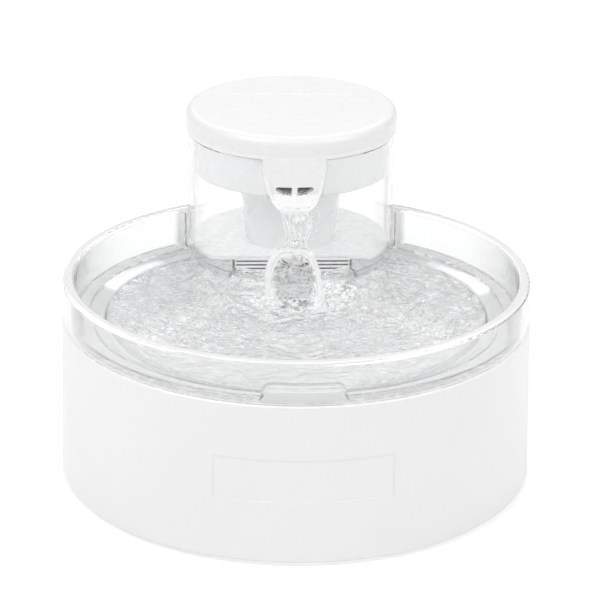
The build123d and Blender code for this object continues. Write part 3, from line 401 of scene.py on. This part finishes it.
def satin_rim_and_painted_light(ns, ls, p):
    """The rim's flat top is satin and whitened further as a painted highlight, the corners by the tower are
    whitened as painted light, and the rest has a trace of haze.
    """
    x, y, z = place(ns, ls)[1:]
    facing = ns.new("ShaderNodeSeparateXYZ")
    ls.new(ns.new("ShaderNodeNewGeometry").outputs["Normal"], facing.inputs[0])
    low = band(ns, ls, z, rim_top - 2.0, rim_top - 0.5)
    high = band(ns, ls, z, rim_top + 0.6, rim_top + 1.4, 1.0, 0.0)
    rim = times(ns, ls, times(ns, ls, low, high), ease(ns, ls, facing.outputs["Z"], 0.35, 0.9))
    flat = ns.new("ShaderNodeCombineXYZ")
    feed(ls, flat.inputs, (maths(ns, ls, "ABSOLUTE", x), y))
    off = vectors(ns, ls, "DISTANCE", flat.outputs[0], (corner_x * MM, corner_y * MM, 0.0))
    corner = times(ns, ls, band(ns, ls, off, 4.0, 8.0, 1.0, 0.0), band(ns, ls, z, 94.0, 100.0, 0.0, 0.5))
    painted_whitening = maths(ns, ls, "MAXIMUM", rim, corner)
    # painted highlight on the rim's top and painted light at the corners: less transmission, so whiter
    ls.new(ease(ns, ls, painted_whitening, 0.0, 1.0, 0.95, 0.15, smooth=False), p.inputs["Transmission Weight"])


def froth_painted_highlights_and_shade(ns, ls, p):
    """White strands of fine air in the falling water, which also serve as painted highlights; a whiter rim
    round the bell, a painted highlight; and a darker film in it, painted shade. Gives the share of the tint
    that is kept."""
    at, _, _, z = place(ns, ls)
    from_bell = vectors(ns, ls, "SUBTRACT", at, (bell_x * MM, 0.0, bell_z * MM))
    squeeze = (1 / (bell_wide * MM), 0.0, 1 / (bell_high * MM))
    oval = vectors(ns, ls, "LENGTH", vectors(ns, ls, "MULTIPLY", from_bell, squeeze))
    rim = times(ns, ls, ease(ns, ls, oval, 0.95, 1.08), band(ns, ls, z, 122.0, 127.0, 0.5, 0.0))
    streaks = noise_node(ns, ls, 330.0, 4.0, 0.6, (1, 1, 0.5))
    strands = times(ns, ls, ease(ns, ls, streaks, 0.50, 0.68, 0.0, 0.55),
                    band(ns, ls, z, lip_z - 1.7, lip_z + 0.3, 1.0, 0.0))
    # painted highlights: the strands and the bell's rim are whiter
    froth_and_highlight = maths(ns, ls, "MAXIMUM", rim, strands)
    ls.new(maths(ns, ls, "SUBTRACT", 1.0, froth_and_highlight), p.inputs["Transmission Weight"])
    # painted shade: the film inside the bell keeps less of its tint
    inside = ease(ns, ls, oval, 0.80, 1.0, 1.0, 0.0)
    return ease(ns, ls, inside, 0.0, 1.0, 1.0, 0.80)


def clear(name, ior, tint, shadow, rough, heights, whiten, edge, rings=()):
    """Clear body: refracting to the eye, and plainly see-through to shadow and diffuse rays, so that what
    it holds is lit. heights are (scale, distance, detail) of its surface relief; rings are
    (centre, scale, distance, broken) of ripples round a spot; whiten(ns, ls, p) whitens it, partly with
    painted light, and may give the share of the tint that is kept; edge is where painted shade starts to
    darken the tint towards grazing sight, where it ends, and how deep it gets."""
    m, ns, ls, out = material(name)
    p = ns.new("ShaderNodeBsdfPrincipled")
    p.inputs["IOR"].default_value = ior
    p.inputs["Transmission Weight"].default_value = 1.0
    normal = None
    for scale, distance, detail in heights:
        normal = bump(ns, ls, noise_node(ns, ls, scale, detail, 0.5), distance, 1.0, normal)
    for (x, y), scale, distance, broken in rings:
        normal = bump(ns, ls, ring_waves(ns, ls, x, y, scale, broken), distance, 1.0, normal)
    kept = whiten(ns, ls, p)
    # painted shade: the tint darkens towards grazing sight, for the dark edges of clear bodies
    slant = ns.new("ShaderNodeLayerWeight")
    slant.inputs["Blend"].default_value = 0.5
    ls.new(normal, p.inputs["Normal"])
    ls.new(normal, slant.inputs["Normal"])
    start, end, deep = edge
    colour = ramp(ns, ls, slant.outputs["Facing"], [(start, tint), (end, tuple(v * deep for v in tint))])
    if kept is not None:
        colour = dimmed(ns, ls, colour, kept)
    ls.new(colour, p.inputs["Base Color"])
    smear = noise_node(ns, ls, 70.0, 3.0)
    ls.new(spread(ns, ls, smear, rough * 0.5, rough * 1.5), p.inputs["Roughness"])
    t = ns.new("ShaderNodeBsdfTransparent")
    t.inputs["Color"].default_value = (*shadow, 1.0)
    unseen = rays(ns, ls, "Is Shadow Ray", "Is Diffuse Ray")
    ls.new(mixed(ns, ls, unseen, p.outputs["BSDF"], t.outputs["BSDF"]), out.inputs["Surface"])
    return m


# ---- materials ----
white_shell = plastic("white_shell", white, 0.33, 0.006, 0.00001, 1500.0, 0.0001, (0.95, 0.1, True),
                      panel_shade)
white_lid = plastic("white_lid", white_shaded_copy, 0.30, 0.006, 0.000006, 1500.0, 0.00006, (0.9, 0.7, False))
white_housing = plastic("white_housing", white, 0.28, 0.006, 0.000006, 1500.0, 0.00006, (0.9, 0.45, False))
white_cover = plastic("white_cover", white, 0.28, 0.006, 0.000006, 1500.0, 0.00006, (0.9, 0.6, False),
                      slot_shade)
white_moulding = plastic("white_moulding", (0.88, 0.88, 0.877), 0.5, 0.012, 0.00002, 1200.0,
                         thin=(0.9, 0.7, False))
# in each clear material, the edge tuple sets the painted shade at its grazing edges
clear_bowl = clear("clear_bowl", 1.49, (0.973, 0.976, 0.976), (0.988, 0.99, 0.99), 0.012,
                   [(40.0, 0.000012, 2.0)], satin_rim_and_painted_light, (0.4, 1.0, 0.70))
foot_rubber = rubber("foot_rubber", (0.35, 0.35, 0.355))
grommet_rubber = rubber("grommet_rubber", (0.04, 0.04, 0.042))
screw_steel = metal("screw_steel", (0.60, 0.60, 0.62), 0.34, (1, 1, 1), 900.0)
motor_steel = metal("motor_steel", (0.62, 0.62, 0.64), 0.36, (1, 1, 12))
shaft_steel = metal("shaft_steel", (0.72, 0.72, 0.74), 0.22, (1, 1, 30))
lead_insulation = plastic("lead_insulation", (0.42, 0.02, 0.015), 0.42, 0.05, 0.00002, 2200.0)
board = board_mask("board")
components = plastic("components", (0.018, 0.018, 0.02), 0.5, 0.1, 0.00006, 2200.0)
carrier = plastic("carrier", (0.07, 0.073, 0.08), 0.5, 0.08, 0.00005, 1800.0)
magnet = metal("magnet", (0.10, 0.10, 0.105), 0.55, (1, 1, 1), 1500.0)
impeller = plastic("impeller", (0.48, 0.54, 0.60), 0.38, 0.02, 0.00003, 1500.0)
bush = plastic("bush", (0.62, 0.58, 0.50), 0.34, 0.02, 0.00002, 1800.0)
foam_black = foam("foam")
carbon = granules("carbon")
water = clear("water", 1.333, (0.980, 0.984, 0.984), (0.985, 0.988, 0.989), 0.004,
              [(120.0, 0.0009, 2.0)], milky_and_painted_streaks, (0.55, 0.95, 0.46), [((0.001, 0.006), 30.0, 0.0006, 14.0)])
spray = clear("spray", 1.333, (0.998, 0.999, 0.999), (0.985, 0.987, 0.988), 0.006,
              [(420.0, 0.0001, 2.0)], froth_painted_highlights_and_shade, (0.45, 1.0, 0.5))

paint = {
    "base_shell": white_shell, "base_floor": white_moulding, "base_screws": screw_steel,
    "rubber_feet": foot_rubber, "cord_grommet": grommet_rubber, "motor_cover": white_moulding,
    "cover_gasket": grommet_rubber, "cover_screws": screw_steel, "drive_motor": motor_steel,
    "motor_bracket": motor_steel, "motor_screws": screw_steel, "motor_leads": lead_insulation,
    "circuit_board": board, "board_components": components, "board_screws": screw_steel,
    "motor_shaft": shaft_steel, "magnet_carrier": carrier, "drive_magnets": magnet, "bowl": clear_bowl,
    "impeller_post": shaft_steel, "impeller": impeller, "impeller_magnet": magnet, "impeller_bush": bush,
    "filter_housing": white_housing, "impeller_cover": white_cover, "riser_tube": white_moulding,
    "foam_prefilter": foam_black, "cartridge_frame": white_moulding, "filter_medium": carbon,
    "cartridge_cap": white_moulding, "lid": white_lid,
}
for name, node in nodes.items():
    node.data.materials.clear()
    node.data.materials.append(paint[name])


# ---- mesh helpers ----
def add_mesh(name, verts, faces, mat, smooth=True):
    """Mesh object from millimetre vertices."""
    data = bpy.data.meshes.new(name)
    data.from_pydata([tuple(v) for v in np.asarray(verts) * MM], [], [tuple(map(int, f)) for f in faces])
    data.update()
    data.materials.append(mat)
    obj = bpy.data.objects.new(name, data)
    scene.collection.objects.link(obj)
    if smooth:
        data.shade_smooth()
    return obj


def apply(obj, *mods):
    """Adds modifiers as (type, {settings}) and applies them to the mesh."""
    for kind, settings in mods:
        mod = obj.modifiers.new(kind.lower(), kind)
        for key, value in settings.items():
            setattr(mod, key, value)
    graph = bpy.context.evaluated_depsgraph_get()
    data = bpy.data.meshes.new_from_object(obj.evaluated_get(graph))
    obj.modifiers.clear()
    obj.data = data
    data.shade_smooth()
    return obj


def tube(path, radii, sides=14):
    """Closed round tube along points, with domed ends."""
    path = np.asarray(path, float)
    radii = np.asarray(radii, float)
    tangent = np.gradient(path, axis=0)
    tangent /= np.linalg.norm(tangent, axis=1)[:, None]
    up = np.array([0.0, 1.0, 0.0]) if abs(tangent[0][1]) < 0.9 else np.array([1.0, 0.0, 0.0])
    verts, faces = [], []
    angles = np.linspace(0, 2 * math.pi, sides, endpoint=False)
    rings = []
    side = np.cross(tangent[0], up)
    side /= np.linalg.norm(side)
    for p, r, t in zip(path, radii, tangent):
        side = side - t * side.dot(t)
        side /= np.linalg.norm(side)
        other = np.cross(t, side)
        rings.append([p + r * (math.cos(a) * side + math.sin(a) * other) for a in angles])
    for ring in rings:
        verts += ring
    first = len(verts)
    verts.append(path[0] - tangent[0] * radii[0] * 0.6)
    verts.append(path[-1] + tangent[-1] * radii[-1] * 0.6)
    for i in range(len(rings) - 1):
        for k in range(sides):
            a, b = i * sides + k, i * sides + (k + 1) % sides
            faces.append((a, b, b + sides, a + sides))
    last = (len(rings) - 1) * sides
    for k in range(sides):
        faces.append((first, (k + 1) % sides, k))
        faces.append((first + 1, last + k, last + (k + 1) % sides))
    return verts, faces


def smooth_path(points, count):
    """Catmull-Rom curve through rows of numbers."""
    p = np.asarray(points, float)
    p = np.vstack([2 * p[0] - p[1], p, 2 * p[-1] - p[-2]])
    n = len(p) - 3
    out = []
    for s in np.linspace(0, n - 1e-9, count):
        i = int(s)
        t = s - i
        a, b, c, d = p[i:i + 4]
        out.append(0.5 * (2 * b + (c - a) * t + (2 * a - 5 * b + 4 * c - d) * t * t
                          + (3 * b - 3 * c + d - a) * t ** 3))
    return np.array(out)


def blob(centre, radii, seed, rough, level=3):
    """Drop: a round mesh pulled out of true by a few soft waves."""
    bm = bmesh.new()
    bmesh.ops.create_icosphere(bm, subdivisions=level, radius=1.0)
    rng = np.random.default_rng(seed)
    waves = [(rng.normal(size=3) * 1.6, rng.uniform(0, 6.28)) for _ in range(4)]
    verts = []
    for v in bm.verts:
        u = np.array(v.co)
        k = 1 + rough * sum(math.sin(float(w.dot(u)) + ph) for w, ph in waves) / 2
        verts.append(np.asarray(centre) + u * k * np.asarray(radii))
    faces = [[v.index for v in f.verts] for f in bm.faces]
    bm.free()
    return verts, faces


def sheet(left, right, thick, seed, ripple, across=26, through=(0.0, 1.0, 0.0)):
    """Thin closed film between two paths, with uneven thickness and a slight sway along through."""
    left, right = np.asarray(left), np.asarray(right)
    rng = np.random.default_rng(seed)
    rows = len(left)
    front, back = [], []
    phase = rng.uniform(0, 6.28, 6)
    for i in range(rows):
        for j in range(across):
            s = j / (across - 1)
            p = left[i] * (1 - s) + right[i] * s
            v = i / rows
            sway = ripple * (math.sin(9 * s + 5 * v + phase[0]) + 0.7 * math.sin(17 * s - 11 * v + phase[1])
                             + 0.5 * math.sin(23 * v + 4 * s + phase[2]))
            t = thick * (1 + 0.35 * math.sin(13 * s + 7 * v + phase[3])
                         + 0.25 * math.sin(19 * v - 8 * s + phase[4]))
            front.append(p + np.asarray(through) * (sway - t / 2))
            back.append(p + np.asarray(through) * (sway + t / 2))
    n = rows * across
    faces = []
    for i in range(rows - 1):
        for j in range(across - 1):
            a = i * across + j
            faces.append((a, a + 1, a + 1 + across, a + across))
            faces.append((n + a, n + a + across, n + a + 1 + across, n + a + 1))
    rim = ([i * across for i in range(rows)] + [(rows - 1) * across + j for j in range(1, across)]
           + [i * across + across - 1 for i in range(rows - 2, -1, -1)]
           + [j for j in range(across - 2, 0, -1)])
    for a, b in zip(rim, rim[1:] + rim[:1]):
        faces.append((a, b, n + b, n + a))
    return front + back, faces


def join(parts):
    """One list of points and one of faces from several."""
    verts, faces = [], []
    for v, f in parts:
        base = len(verts)
        verts += [np.asarray(p) for p in v]
        faces += [tuple(int(i) + base for i in face) for face in f]
    return verts, faces


# ---- water level: ripples ----
def field(count, low, high, seed):
    """Sum of plane waves with wavelengths in a range; returns a function with unit spread."""
    rng = np.random.default_rng(seed)
    length = np.exp(rng.uniform(math.log(low), math.log(high), count))
    angle = rng.uniform(0, 2 * math.pi, count)
    phase = rng.uniform(0, 2 * math.pi, count)
    amp = length / math.sqrt((length ** 2).sum() / 2)

    def value(x, y):
        total = np.zeros_like(x)
        for k, a, ph, m in zip(2 * math.pi / length, angle, phase, amp):
            total += m * np.sin(k * (x * math.cos(a) + y * math.sin(a)) + ph)
        return total
    return value


ripple_fine = field(70, 4.0, 9.0, 3)
ripple_long = field(50, 9.0, 22.0, 5)
churn = field(60, 5.0, 13.0, 9)
patch = field(20, 30.0, 70.0, 13)


def drum_gap(x, y):
    """Distance from the pump cover's outline."""
    straight = drum_half - drum_corner
    qx, qy = np.abs(x) - straight, np.abs(tower_y - y) - straight
    square = np.hypot(np.maximum(qx, 0), np.maximum(qy, 0)) + np.minimum(np.maximum(qx, qy), 0) - drum_corner
    return np.where(y < tower_y, square, np.hypot(x, y - tower_y) - drum_half)


def water_height(x, y):
    """Height of the water over its still level."""
    from_impact = np.hypot(x - impact[0], y - impact[1])
    from_bowl = np.hypot(x, y - bowl_y)
    from_tower = np.hypot(x, y - tower_y)
    calm = np.clip(1 - from_impact / 150, 0.25, 1)
    h = fine_high * calm * (1 + 0.5 * patch(x, y)) * ripple_fine(x, y)
    h += long_high * calm * (1 + 0.3 * patch(y, x)) * ripple_long(x, y)
    h += churn_high * np.exp(-(from_impact / churn_reach) ** 2) * churn(x, y)
    turn = 2 * math.pi * from_impact / wave_length + 1.3 * ripple_long(x, y)
    h += wave_high * np.exp(-from_impact / wave_reach) * np.sin(turn)
    inside = from_tower < tower_out - 1
    h = np.where(inside, 0.35 * h, h)
    wall = np.where(inside, np.minimum(tower_in - from_tower, drum_gap(x, y) - drum_fit),
                    np.minimum(pool_radius - from_bowl, np.abs(from_tower - tower_out)))
    wall = np.clip(wall, 0, None)
    return h * (1 - 0.6 * np.exp(-wall / 3)) + meniscus * np.exp(-wall / 1.3)


def arc(cx, cy, r, start, end, step):
    """Points on an arc, start included and end left out."""
    n = max(2, int(abs(end - start) * r / step))
    return [(cx + r * math.cos(a), cy + r * math.sin(a)) for a in np.linspace(start, end, n, endpoint=False)]


def in_pool(x, y, margin, turn):
    """Whether points lie in the tub, in the well or in the window between them, a margin off the walls."""
    from_bowl, from_tower = np.hypot(x, y - bowl_y), np.hypot(x, y - tower_y)
    ang = np.abs(np.arctan2(x, tower_y - y))
    tub = (from_bowl < pool_radius - margin) & (from_tower > tower_out + margin)
    well = (from_tower < tower_in - margin) & (drum_gap(x, y) > drum_fit + margin)
    in_wall = (from_tower <= tower_out + margin) & (from_tower >= tower_in - margin)
    return tub | well | (in_wall & (ang < window_half - turn))


def pool_mesh(step):
    """Closed body of water in the tub and, through the tower's window, in the well round the drum."""
    # where the tub's circle and the tower's cross
    d = tower_y - bowl_y
    along = (d * d + pool_radius ** 2 - tower_out ** 2) / (2 * d)
    cross_x = math.sqrt(pool_radius ** 2 - along ** 2)
    cross_y = bowl_y + along
    tub_a = math.atan2(cross_y - bowl_y, cross_x)
    low_a = math.atan2(cross_y - tower_y, cross_x)
    front = -math.pi / 2
    outline = arc(0, bowl_y, pool_radius, tub_a, -math.pi - tub_a, step)
    outline += arc(0, tower_y, tower_out, -math.pi - low_a, front - window_half, step)
    outline += arc(0, tower_y, tower_in, front - window_half, front - 2 * math.pi + window_half, step)
    outline += arc(0, tower_y, tower_out, front + window_half, low_a, step)
    wide, straight = drum_half + drum_fit, drum_half - drum_corner
    hole = arc(0, tower_y, wide, 0, math.pi, step)
    hole += [(-wide, y) for y in np.arange(tower_y, tower_y - straight, -step)]
    hole += arc(-straight, tower_y - straight, wide - straight, math.pi, 1.5 * math.pi, step)
    hole += [(x, tower_y - wide) for x in np.arange(-straight, straight, step)]
    hole += arc(straight, tower_y - straight, wide - straight, 1.5 * math.pi, 2 * math.pi, step)
    hole += [(wide, y) for y in np.arange(tower_y - straight, tower_y - step * 0.3, step)]
    rows = np.arange(bowl_y - pool_radius, tower_y + tower_in, step * 0.866)
    inner = []
    for i, y in enumerate(rows):
        xs = np.arange(-pool_radius, pool_radius, step) + (step / 2 if i % 2 else 0)
        inner += [(x, y) for x in xs[in_pool(xs, y, step * 0.6, step / 60)]]
    points = outline + hole + inner
    n, m = len(outline), len(hole)
    edges = [(i, (i + 1) % n) for i in range(n)] + [(n + i, n + (i + 1) % m) for i in range(m)]
    co, _, tris, *_ = delaunay_2d_cdt([Vector(p) for p in points], edges, [], 0, 1e-5)
    co = np.array([tuple(c) for c in co])
    tris = np.array(tris)
    mid = co[tris].mean(axis=1)
    tris = tris[in_pool(mid[:, 0], mid[:, 1], 0.0, 0.0)]
    x, y = co[:, 0], co[:, 1]
    top = np.column_stack([x, y, pool_z + water_height(x, y)])
    fb, ft = np.hypot(x, y - bowl_y), np.hypot(x, y - tower_y)
    tub = ft > tower_out - 0.3
    shrink = np.where(tub, 1 - (1 - pool_foot / pool_radius) * (fb / pool_radius) ** 6, 1)
    bx, by = x * shrink, bowl_y + (y - bowl_y) * shrink
    gap = np.hypot(bx, by - tower_y)
    push = np.where(tub & (gap < tower_out), tower_out / gap, 1)
    bx, by = bx * push, tower_y + (by - tower_y) * push
    edge = np.clip(np.hypot(bx, by - bowl_y) - (pool_foot - tub_fillet), 0, tub_fillet - 0.05)
    bz = tub_floor + tub_fillet - np.sqrt(tub_fillet ** 2 - edge ** 2)
    bz = np.where(tub, bz, np.where(ft > tower_in + 0.2, sill, well_floor))
    low = np.column_stack([bx, by, bz])
    total = len(co)
    faces = [tuple(t) for t in tris] + [tuple(total + i for i in t[::-1]) for t in tris]
    sides = dict.fromkeys((p, q) for a, b, c in tris for p, q in ((a, b), (b, c), (c, a)))
    for p, q in sides:
        if (q, p) not in sides:
            faces.append((q, p, total + p, total + q))
    return np.vstack([top, low]), faces


verts, faces = pool_mesh(1.15)
pool = add_mesh("pool_water", verts, faces, water)
bm = bmesh.new()
bm.from_mesh(pool.data)
bmesh.ops.delete(bm, geom=[v for v in bm.verts if not v.link_faces], context="VERTS")
bmesh.ops.recalc_face_normals(bm, faces=bm.faces)
for e in bm.edges:
    if len(e.link_faces) == 2 and e.calc_face_angle(0) > math.radians(50):
        e.smooth = False
bm.to_mesh(pool.data)
bm.free()
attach(pool, "bowl_unit")

# ---- falling water: a curtain from the lip, a knot, and a bell under it ----
left_rim = smooth_path([(-7.4, 16.6, 147.4), (-8.0, 15.4, 145.8), (-7.2, 14.8, 143.6),
                        (-5.8, 13.9, 140.3), (-4.5, 12.9, 136.3), (-3.6, 12.0, 132.3),
                        (-3.0, 11.4, 129.4), (-1.8, 10.9, 126.1)], 50)
right_rim = smooth_path([(7.4, 16.6, 147.4), (8.2, 15.4, 145.8), (8.6, 14.8, 143.6), (8.6, 13.9, 140.3),
                         (7.7, 12.9, 136.3), (6.5, 12.0, 132.2), (5.9, 11.4, 129.3), (4.6, 10.9, 126.1)], 50)
streak = smooth_path([(-3.4, 16.4, 147.4), (-3.2, 15.0, 145.5), (-2.8, 14.5, 143.6), (-2.3, 13.5, 140.5),
                      (-1.5, 12.5, 136.5), (-0.6, 11.6, 132.4), (0.5, 11.0, 128.9)], 40)
streak_low = smooth_path([(3.4, 13.3, 139.3), (3.7, 12.3, 135.3), (3.1, 11.5, 131.2), (2.3, 10.9, 127.6)], 40)
bell_left = smooth_path([(1.1, 10.6, 124.9), (-3.3, 10.5, 124.9), (-7.2, 10.4, 124.8), (-10.0, 10.2, 123.9),
                         (-12.2, 10.0, 121.9), (-13.9, 9.8, 118.7), (-15.2, 9.4, 114.5), (-15.9, 9.0, 109.6),
                         (-16.0, 8.6, 104.7), (-15.9, 8.2, 99.8), (-15.7, 7.9, 94.8)], 70)
bell_right = smooth_path([(1.1, 10.6, 124.9), (4.0, 10.5, 124.8), (6.7, 10.4, 124.1), (9.1, 10.1, 122.0),
                          (10.7, 9.8, 118.6), (12.1, 9.4, 114.4), (13.3, 9.0, 110.1), (14.1, 8.6, 105.8),
                          (14.5, 8.2, 100.9), (14.5, 7.9, 95.0)], 70)
bell_inner = smooth_path([(8.5, 9.6, 120.6), (9.7, 9.0, 117.0), (10.3, 8.4, 112.9), (11.5, 7.8, 108.7),
                          (12.4, 7.2, 103.9), (12.8, 6.6, 95.2)], 50)
strand = smooth_path([(1.1, 10.6, 126.5), (0.5, 10.2, 123.5), (0.0, 9.9, 120.5), (0.1, 9.6, 117.5),
                      (0.6, 9.3, 114.8)], 30)
spill = smooth_path([(10.6, 18.6, 149.6), (11.9, 17.4, 149.6), (13.1, 16.8, 148.0), (14.2, 16.6, 145.4),
                     (14.3, 16.4, 142.4), (13.5, 16.2, 139.4), (12.1, 16.0, 136.4)], 50)
film_left = smooth_path([(-11.6, 25.0, 153.0), (-11.3, 24.0, 151.8), (-10.2, 22.0, 150.1),
                         (-8.4, 19.0, 148.4), (-6.8, 16.6, 147.6), (-6.9, 15.4, 146.9)], 40)
film_right = film_left * (-1, 1, 1)
film_lift = (0.0, -0.5, 0.86)
wave = np.linspace(0, 20, 70)
parts = [
    tube(left_rim, np.linspace(1.2, 1.45, 50) + 0.15 * np.sin(np.linspace(0, 16, 50))),
    tube(right_rim, np.linspace(1.1, 1.4, 50) + 0.18 * np.sin(np.linspace(1, 14, 50))),
    tube(streak, np.linspace(0.9, 1.1, 40) + 0.1 * np.sin(np.linspace(0, 13, 40))),
    tube(streak_low, np.linspace(0.3, 0.8, 40)),
    sheet(left_rim, right_rim, 0.75, 21, 0.25),
    blob((-2.7, 11.2, 128.4), (1.7, 1.5, 2.0), 31, 0.25),
    blob((1.4, 11.4, 128.8), (2.2, 1.7, 1.9), 33, 0.3),
    blob((4.6, 11.1, 127.6), (1.7, 1.5, 2.4), 35, 0.25),
    blob((3.1, 11.4, 132.2), (1.6, 1.3, 1.7), 37, 0.3),
    blob((0.9, 10.9, 125.8), (4.2, 1.8, 1.5), 39, 0.2),
    tube(bell_left, np.linspace(2.0, 1.9, 70) + 0.14 * np.sin(wave) + 0.1 * np.sin(2.3 * wave)),
    tube(bell_right, np.linspace(2.0, 1.9, 70) + 0.16 * np.sin(wave + 2) + 0.1 * np.sin(2.1 * wave)),
    tube(bell_inner, np.linspace(0.6, 1.1, 50) + 0.15 * np.sin(np.linspace(0, 14, 50))),
    sheet(bell_left, bell_right, 0.8, 23, 0.5, 44),
    tube(strand, np.linspace(1.9, 1.3, 30) + 0.25 * np.sin(np.linspace(0, 11, 30))),
    blob((2.2, 9.6, 121.0), (1.3, 1.2, 3.4), 41, 0.25),
    blob((0.5, 9.4, 114.8), (1.9, 1.3, 1.5), 43, 0.2),
    tube(spill, np.linspace(0.55, 0.4, 50) + 0.08 * np.sin(np.linspace(0, 12, 50))),
    sheet(film_left, film_right, 0.8, 25, 0.16, 40, film_lift),
]


def outlet_side(sign, across):
    """One side of the film in an outlet, at these distances from the spout's middle."""
    rows = [(31.0, 154.0), (28.0, 154.0), (25.4, 153.7), (24.4, 152.4)]
    return smooth_path([(sign * x, y, z) for x, (y, z) in zip(across, rows)], 20)


for sign in (-1, 1):
    near = outlet_side(sign, (2.4, 2.3, 2.3, 2.6))
    far = outlet_side(sign, (7.2, 7.2, 7.4, 7.8))
    pair = (near, far) if sign > 0 else (far, near)
    parts.append(sheet(*pair, 0.85, 27 + sign, 0.1, 20, film_lift))
verts, faces = join(parts)
stream = add_mesh("falling_water", verts, faces, spray)
apply(stream, ("REMESH", {"mode": "VOXEL", "voxel_size": 0.00036}),
      ("SMOOTH", {"iterations": 5, "factor": 0.6}))
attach(stream, "filter_unit")
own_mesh(stream)

# ---- drops round the lip and the bell ----
drops = []
rng = np.random.default_rng(71)
for x, y, z, r in [(12.6, 16.0, 134.4, 0.7), (11.2, 16.6, 143.4, 0.6), (11.0, 16.2, 140.2, 0.5),
                   (9.8, 12.0, 131.0, 0.5), (-8.6, 12.0, 132.6, 0.45), (-18.9, 9.0, 107.4, 0.7),
                   (-18.4, 9.4, 111.6, 0.45), (17.6, 9.4, 109.6, 0.6), (19.8, 8.6, 104.2, 0.6),
                   (-19.6, 9.0, 101.8, 0.7), (22.6, 10.6, 101.0, 0.8), (-5.0, 9.0, 111.4, 0.6),
                   (5.8, 8.6, 108.8, 0.7), (8.6, 8.9, 116.2, 0.9), (9.0, 8.8, 113.4, 0.6),
                   (-7.4, 8.6, 104.0, 0.6)]:
    drops.append(blob((x, y, z), (r, r, r * rng.uniform(1.0, 1.5)), int(x * 10) % 97 + 100, 0.15))
verts, faces = join(drops)
droplets = add_mesh("droplets", verts, faces, spray)
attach(droplets, "filter_unit")
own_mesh(droplets)

# ---- bubbles and foam round the foot of the bell ----
bubbles = []
rng = np.random.default_rng(17)
made = 0
while made < bubble_count:
    if made % 3:
        x, y = rng.normal(5, 14), rng.normal(-1, 5)
    else:
        x, y = rng.normal(25, 7), rng.normal(16, 11)
    if math.hypot(x, y - tower_y) < tower_out + 3 or abs(x) > 60:
        continue
    r = float(np.clip(rng.lognormal(-0.35, 0.45), 0.3, 1.9))
    z = pool_z + float(water_height(np.array([x]), np.array([y]))[0]) + r * 0.15
    centre = np.array([x, y, z])
    skin, faces = blob(centre, (r, r, r * 0.9), made + 300, 0.05, 2)
    inner = [centre + (np.asarray(p) - centre) * 0.9 for p in skin]
    inside_out = [tuple(len(skin) + i for i in face[::-1]) for face in faces]
    bubbles.append((skin + inner, faces + inside_out))
    made += 1
verts, faces = join(bubbles)
bubbles_obj = add_mesh("bubbles", verts, faces, spray)
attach(bubbles_obj, "bowl_unit")

# ---- floor, light and camera ----
floor_mat, ns, ls, out = material("studio_floor")
diffuse = ns.new("ShaderNodeBsdfDiffuse")
diffuse.inputs["Color"].default_value = (0.80, 0.80, 0.80, 1)
glow = ns.new("ShaderNodeEmission")
glow.inputs["Color"].default_value = (1, 1, 1, 1)
seen = rays(ns, ls, "Is Camera Ray", "Is Glossy Ray", "Is Transmission Ray")
ls.new(times(ns, ls, seen, floor_glow), glow.inputs["Strength"])
total = ns.new("ShaderNodeAddShader")
feed(ls, total.inputs, (diffuse.outputs["BSDF"], glow.outputs["Emission"]))
ls.new(total.outputs["Shader"], out.inputs["Surface"])
floor = add_mesh("studio_floor", [(-6000, -6000, 0), (6000, -6000, 0), (6000, 6000, 0), (-6000, 6000, 0)],
                 [(0, 1, 2, 3)], floor_mat, False)
floor.location.z = -0.0002

world = bpy.data.worlds.new("studio")
scene.world = world
world.use_nodes = True
ns, ls = world.node_tree.nodes, world.node_tree.links
ns.clear()
out = ns.new("ShaderNodeOutputWorld")
direction = ns.new("ShaderNodeSeparateXYZ")
ls.new(ns.new("ShaderNodeTexCoord").outputs["Generated"], direction.inputs[0])
sky = ramp(ns, ls, direction.outputs["Z"], [(0.0, (0.58, 0.58, 0.585)), (0.25, (0.68, 0.68, 0.685)),
                                            (0.6, (0.74, 0.74, 0.74)), (1.0, (0.74, 0.74, 0.74))])
soft = ns.new("ShaderNodeBackground")
feed(ls, soft.inputs, (sky, 0.86))
plain = ns.new("ShaderNodeBackground")
feed(ls, plain.inputs, ((1, 1, 1, 1), 1.0))
seen = rays(ns, ls, "Is Camera Ray", "Is Transmission Ray")
ls.new(mixed(ns, ls, seen, soft.outputs[0], plain.outputs[0]), out.inputs["Surface"])


def softbox(name, at, target, size, power):
    """Rectangular lamp that looks at a target."""
    data = bpy.data.lights.new(name, "AREA")
    data.shape = "RECTANGLE"
    data.size, data.size_y = size
    data.energy = power
    obj = bpy.data.objects.new(name, data)
    obj.location = at
    obj.rotation_mode = "QUATERNION"
    obj.rotation_quaternion = (Vector(target) - Vector(at)).to_track_quat("-Z", "Y")
    scene.collection.objects.link(obj)


softbox("key", (-1.3, -1.0, 1.9), (0, 0, 0.08), (1.4, 1.4), 22)
softbox("fill", (1.6, -0.9, 1.5), (0, 0, 0.08), (1.2, 1.2), 13)
softbox("back", (0.2, 1.9, 1.6), (0, 0.05, 0.1), (1.8, 0.7), 9)

camera = bpy.data.objects.new("camera", bpy.data.cameras.new("camera"))
scene.collection.objects.link(camera)
scene.camera = camera
camera.data.sensor_width = 36.0
camera.data.lens = 184.774
yaw, pitch, roll = math.radians(2.2725), math.radians(21.6645), math.radians(0.5934)
ahead = Vector((math.sin(yaw) * math.cos(pitch), math.cos(yaw) * math.cos(pitch), -math.sin(pitch)))
side = ahead.cross(Vector((0, 0, 1))).normalized()
above = side.cross(ahead)
right = side * math.cos(roll) + above * math.sin(roll)
up = above * math.cos(roll) - side * math.sin(roll)
turn = Matrix((right, up, -ahead)).transposed()
camera.matrix_world = Matrix.Translation((-0.06385, -1.67848, 0.76453)) @ turn.to_4x4()
camera.data.clip_end = 50.0

scene.cycles.max_bounces = 24
scene.cycles.transmission_bounces = 24
scene.cycles.glossy_bounces = 12
scene.cycles.transparent_max_bounces = 32
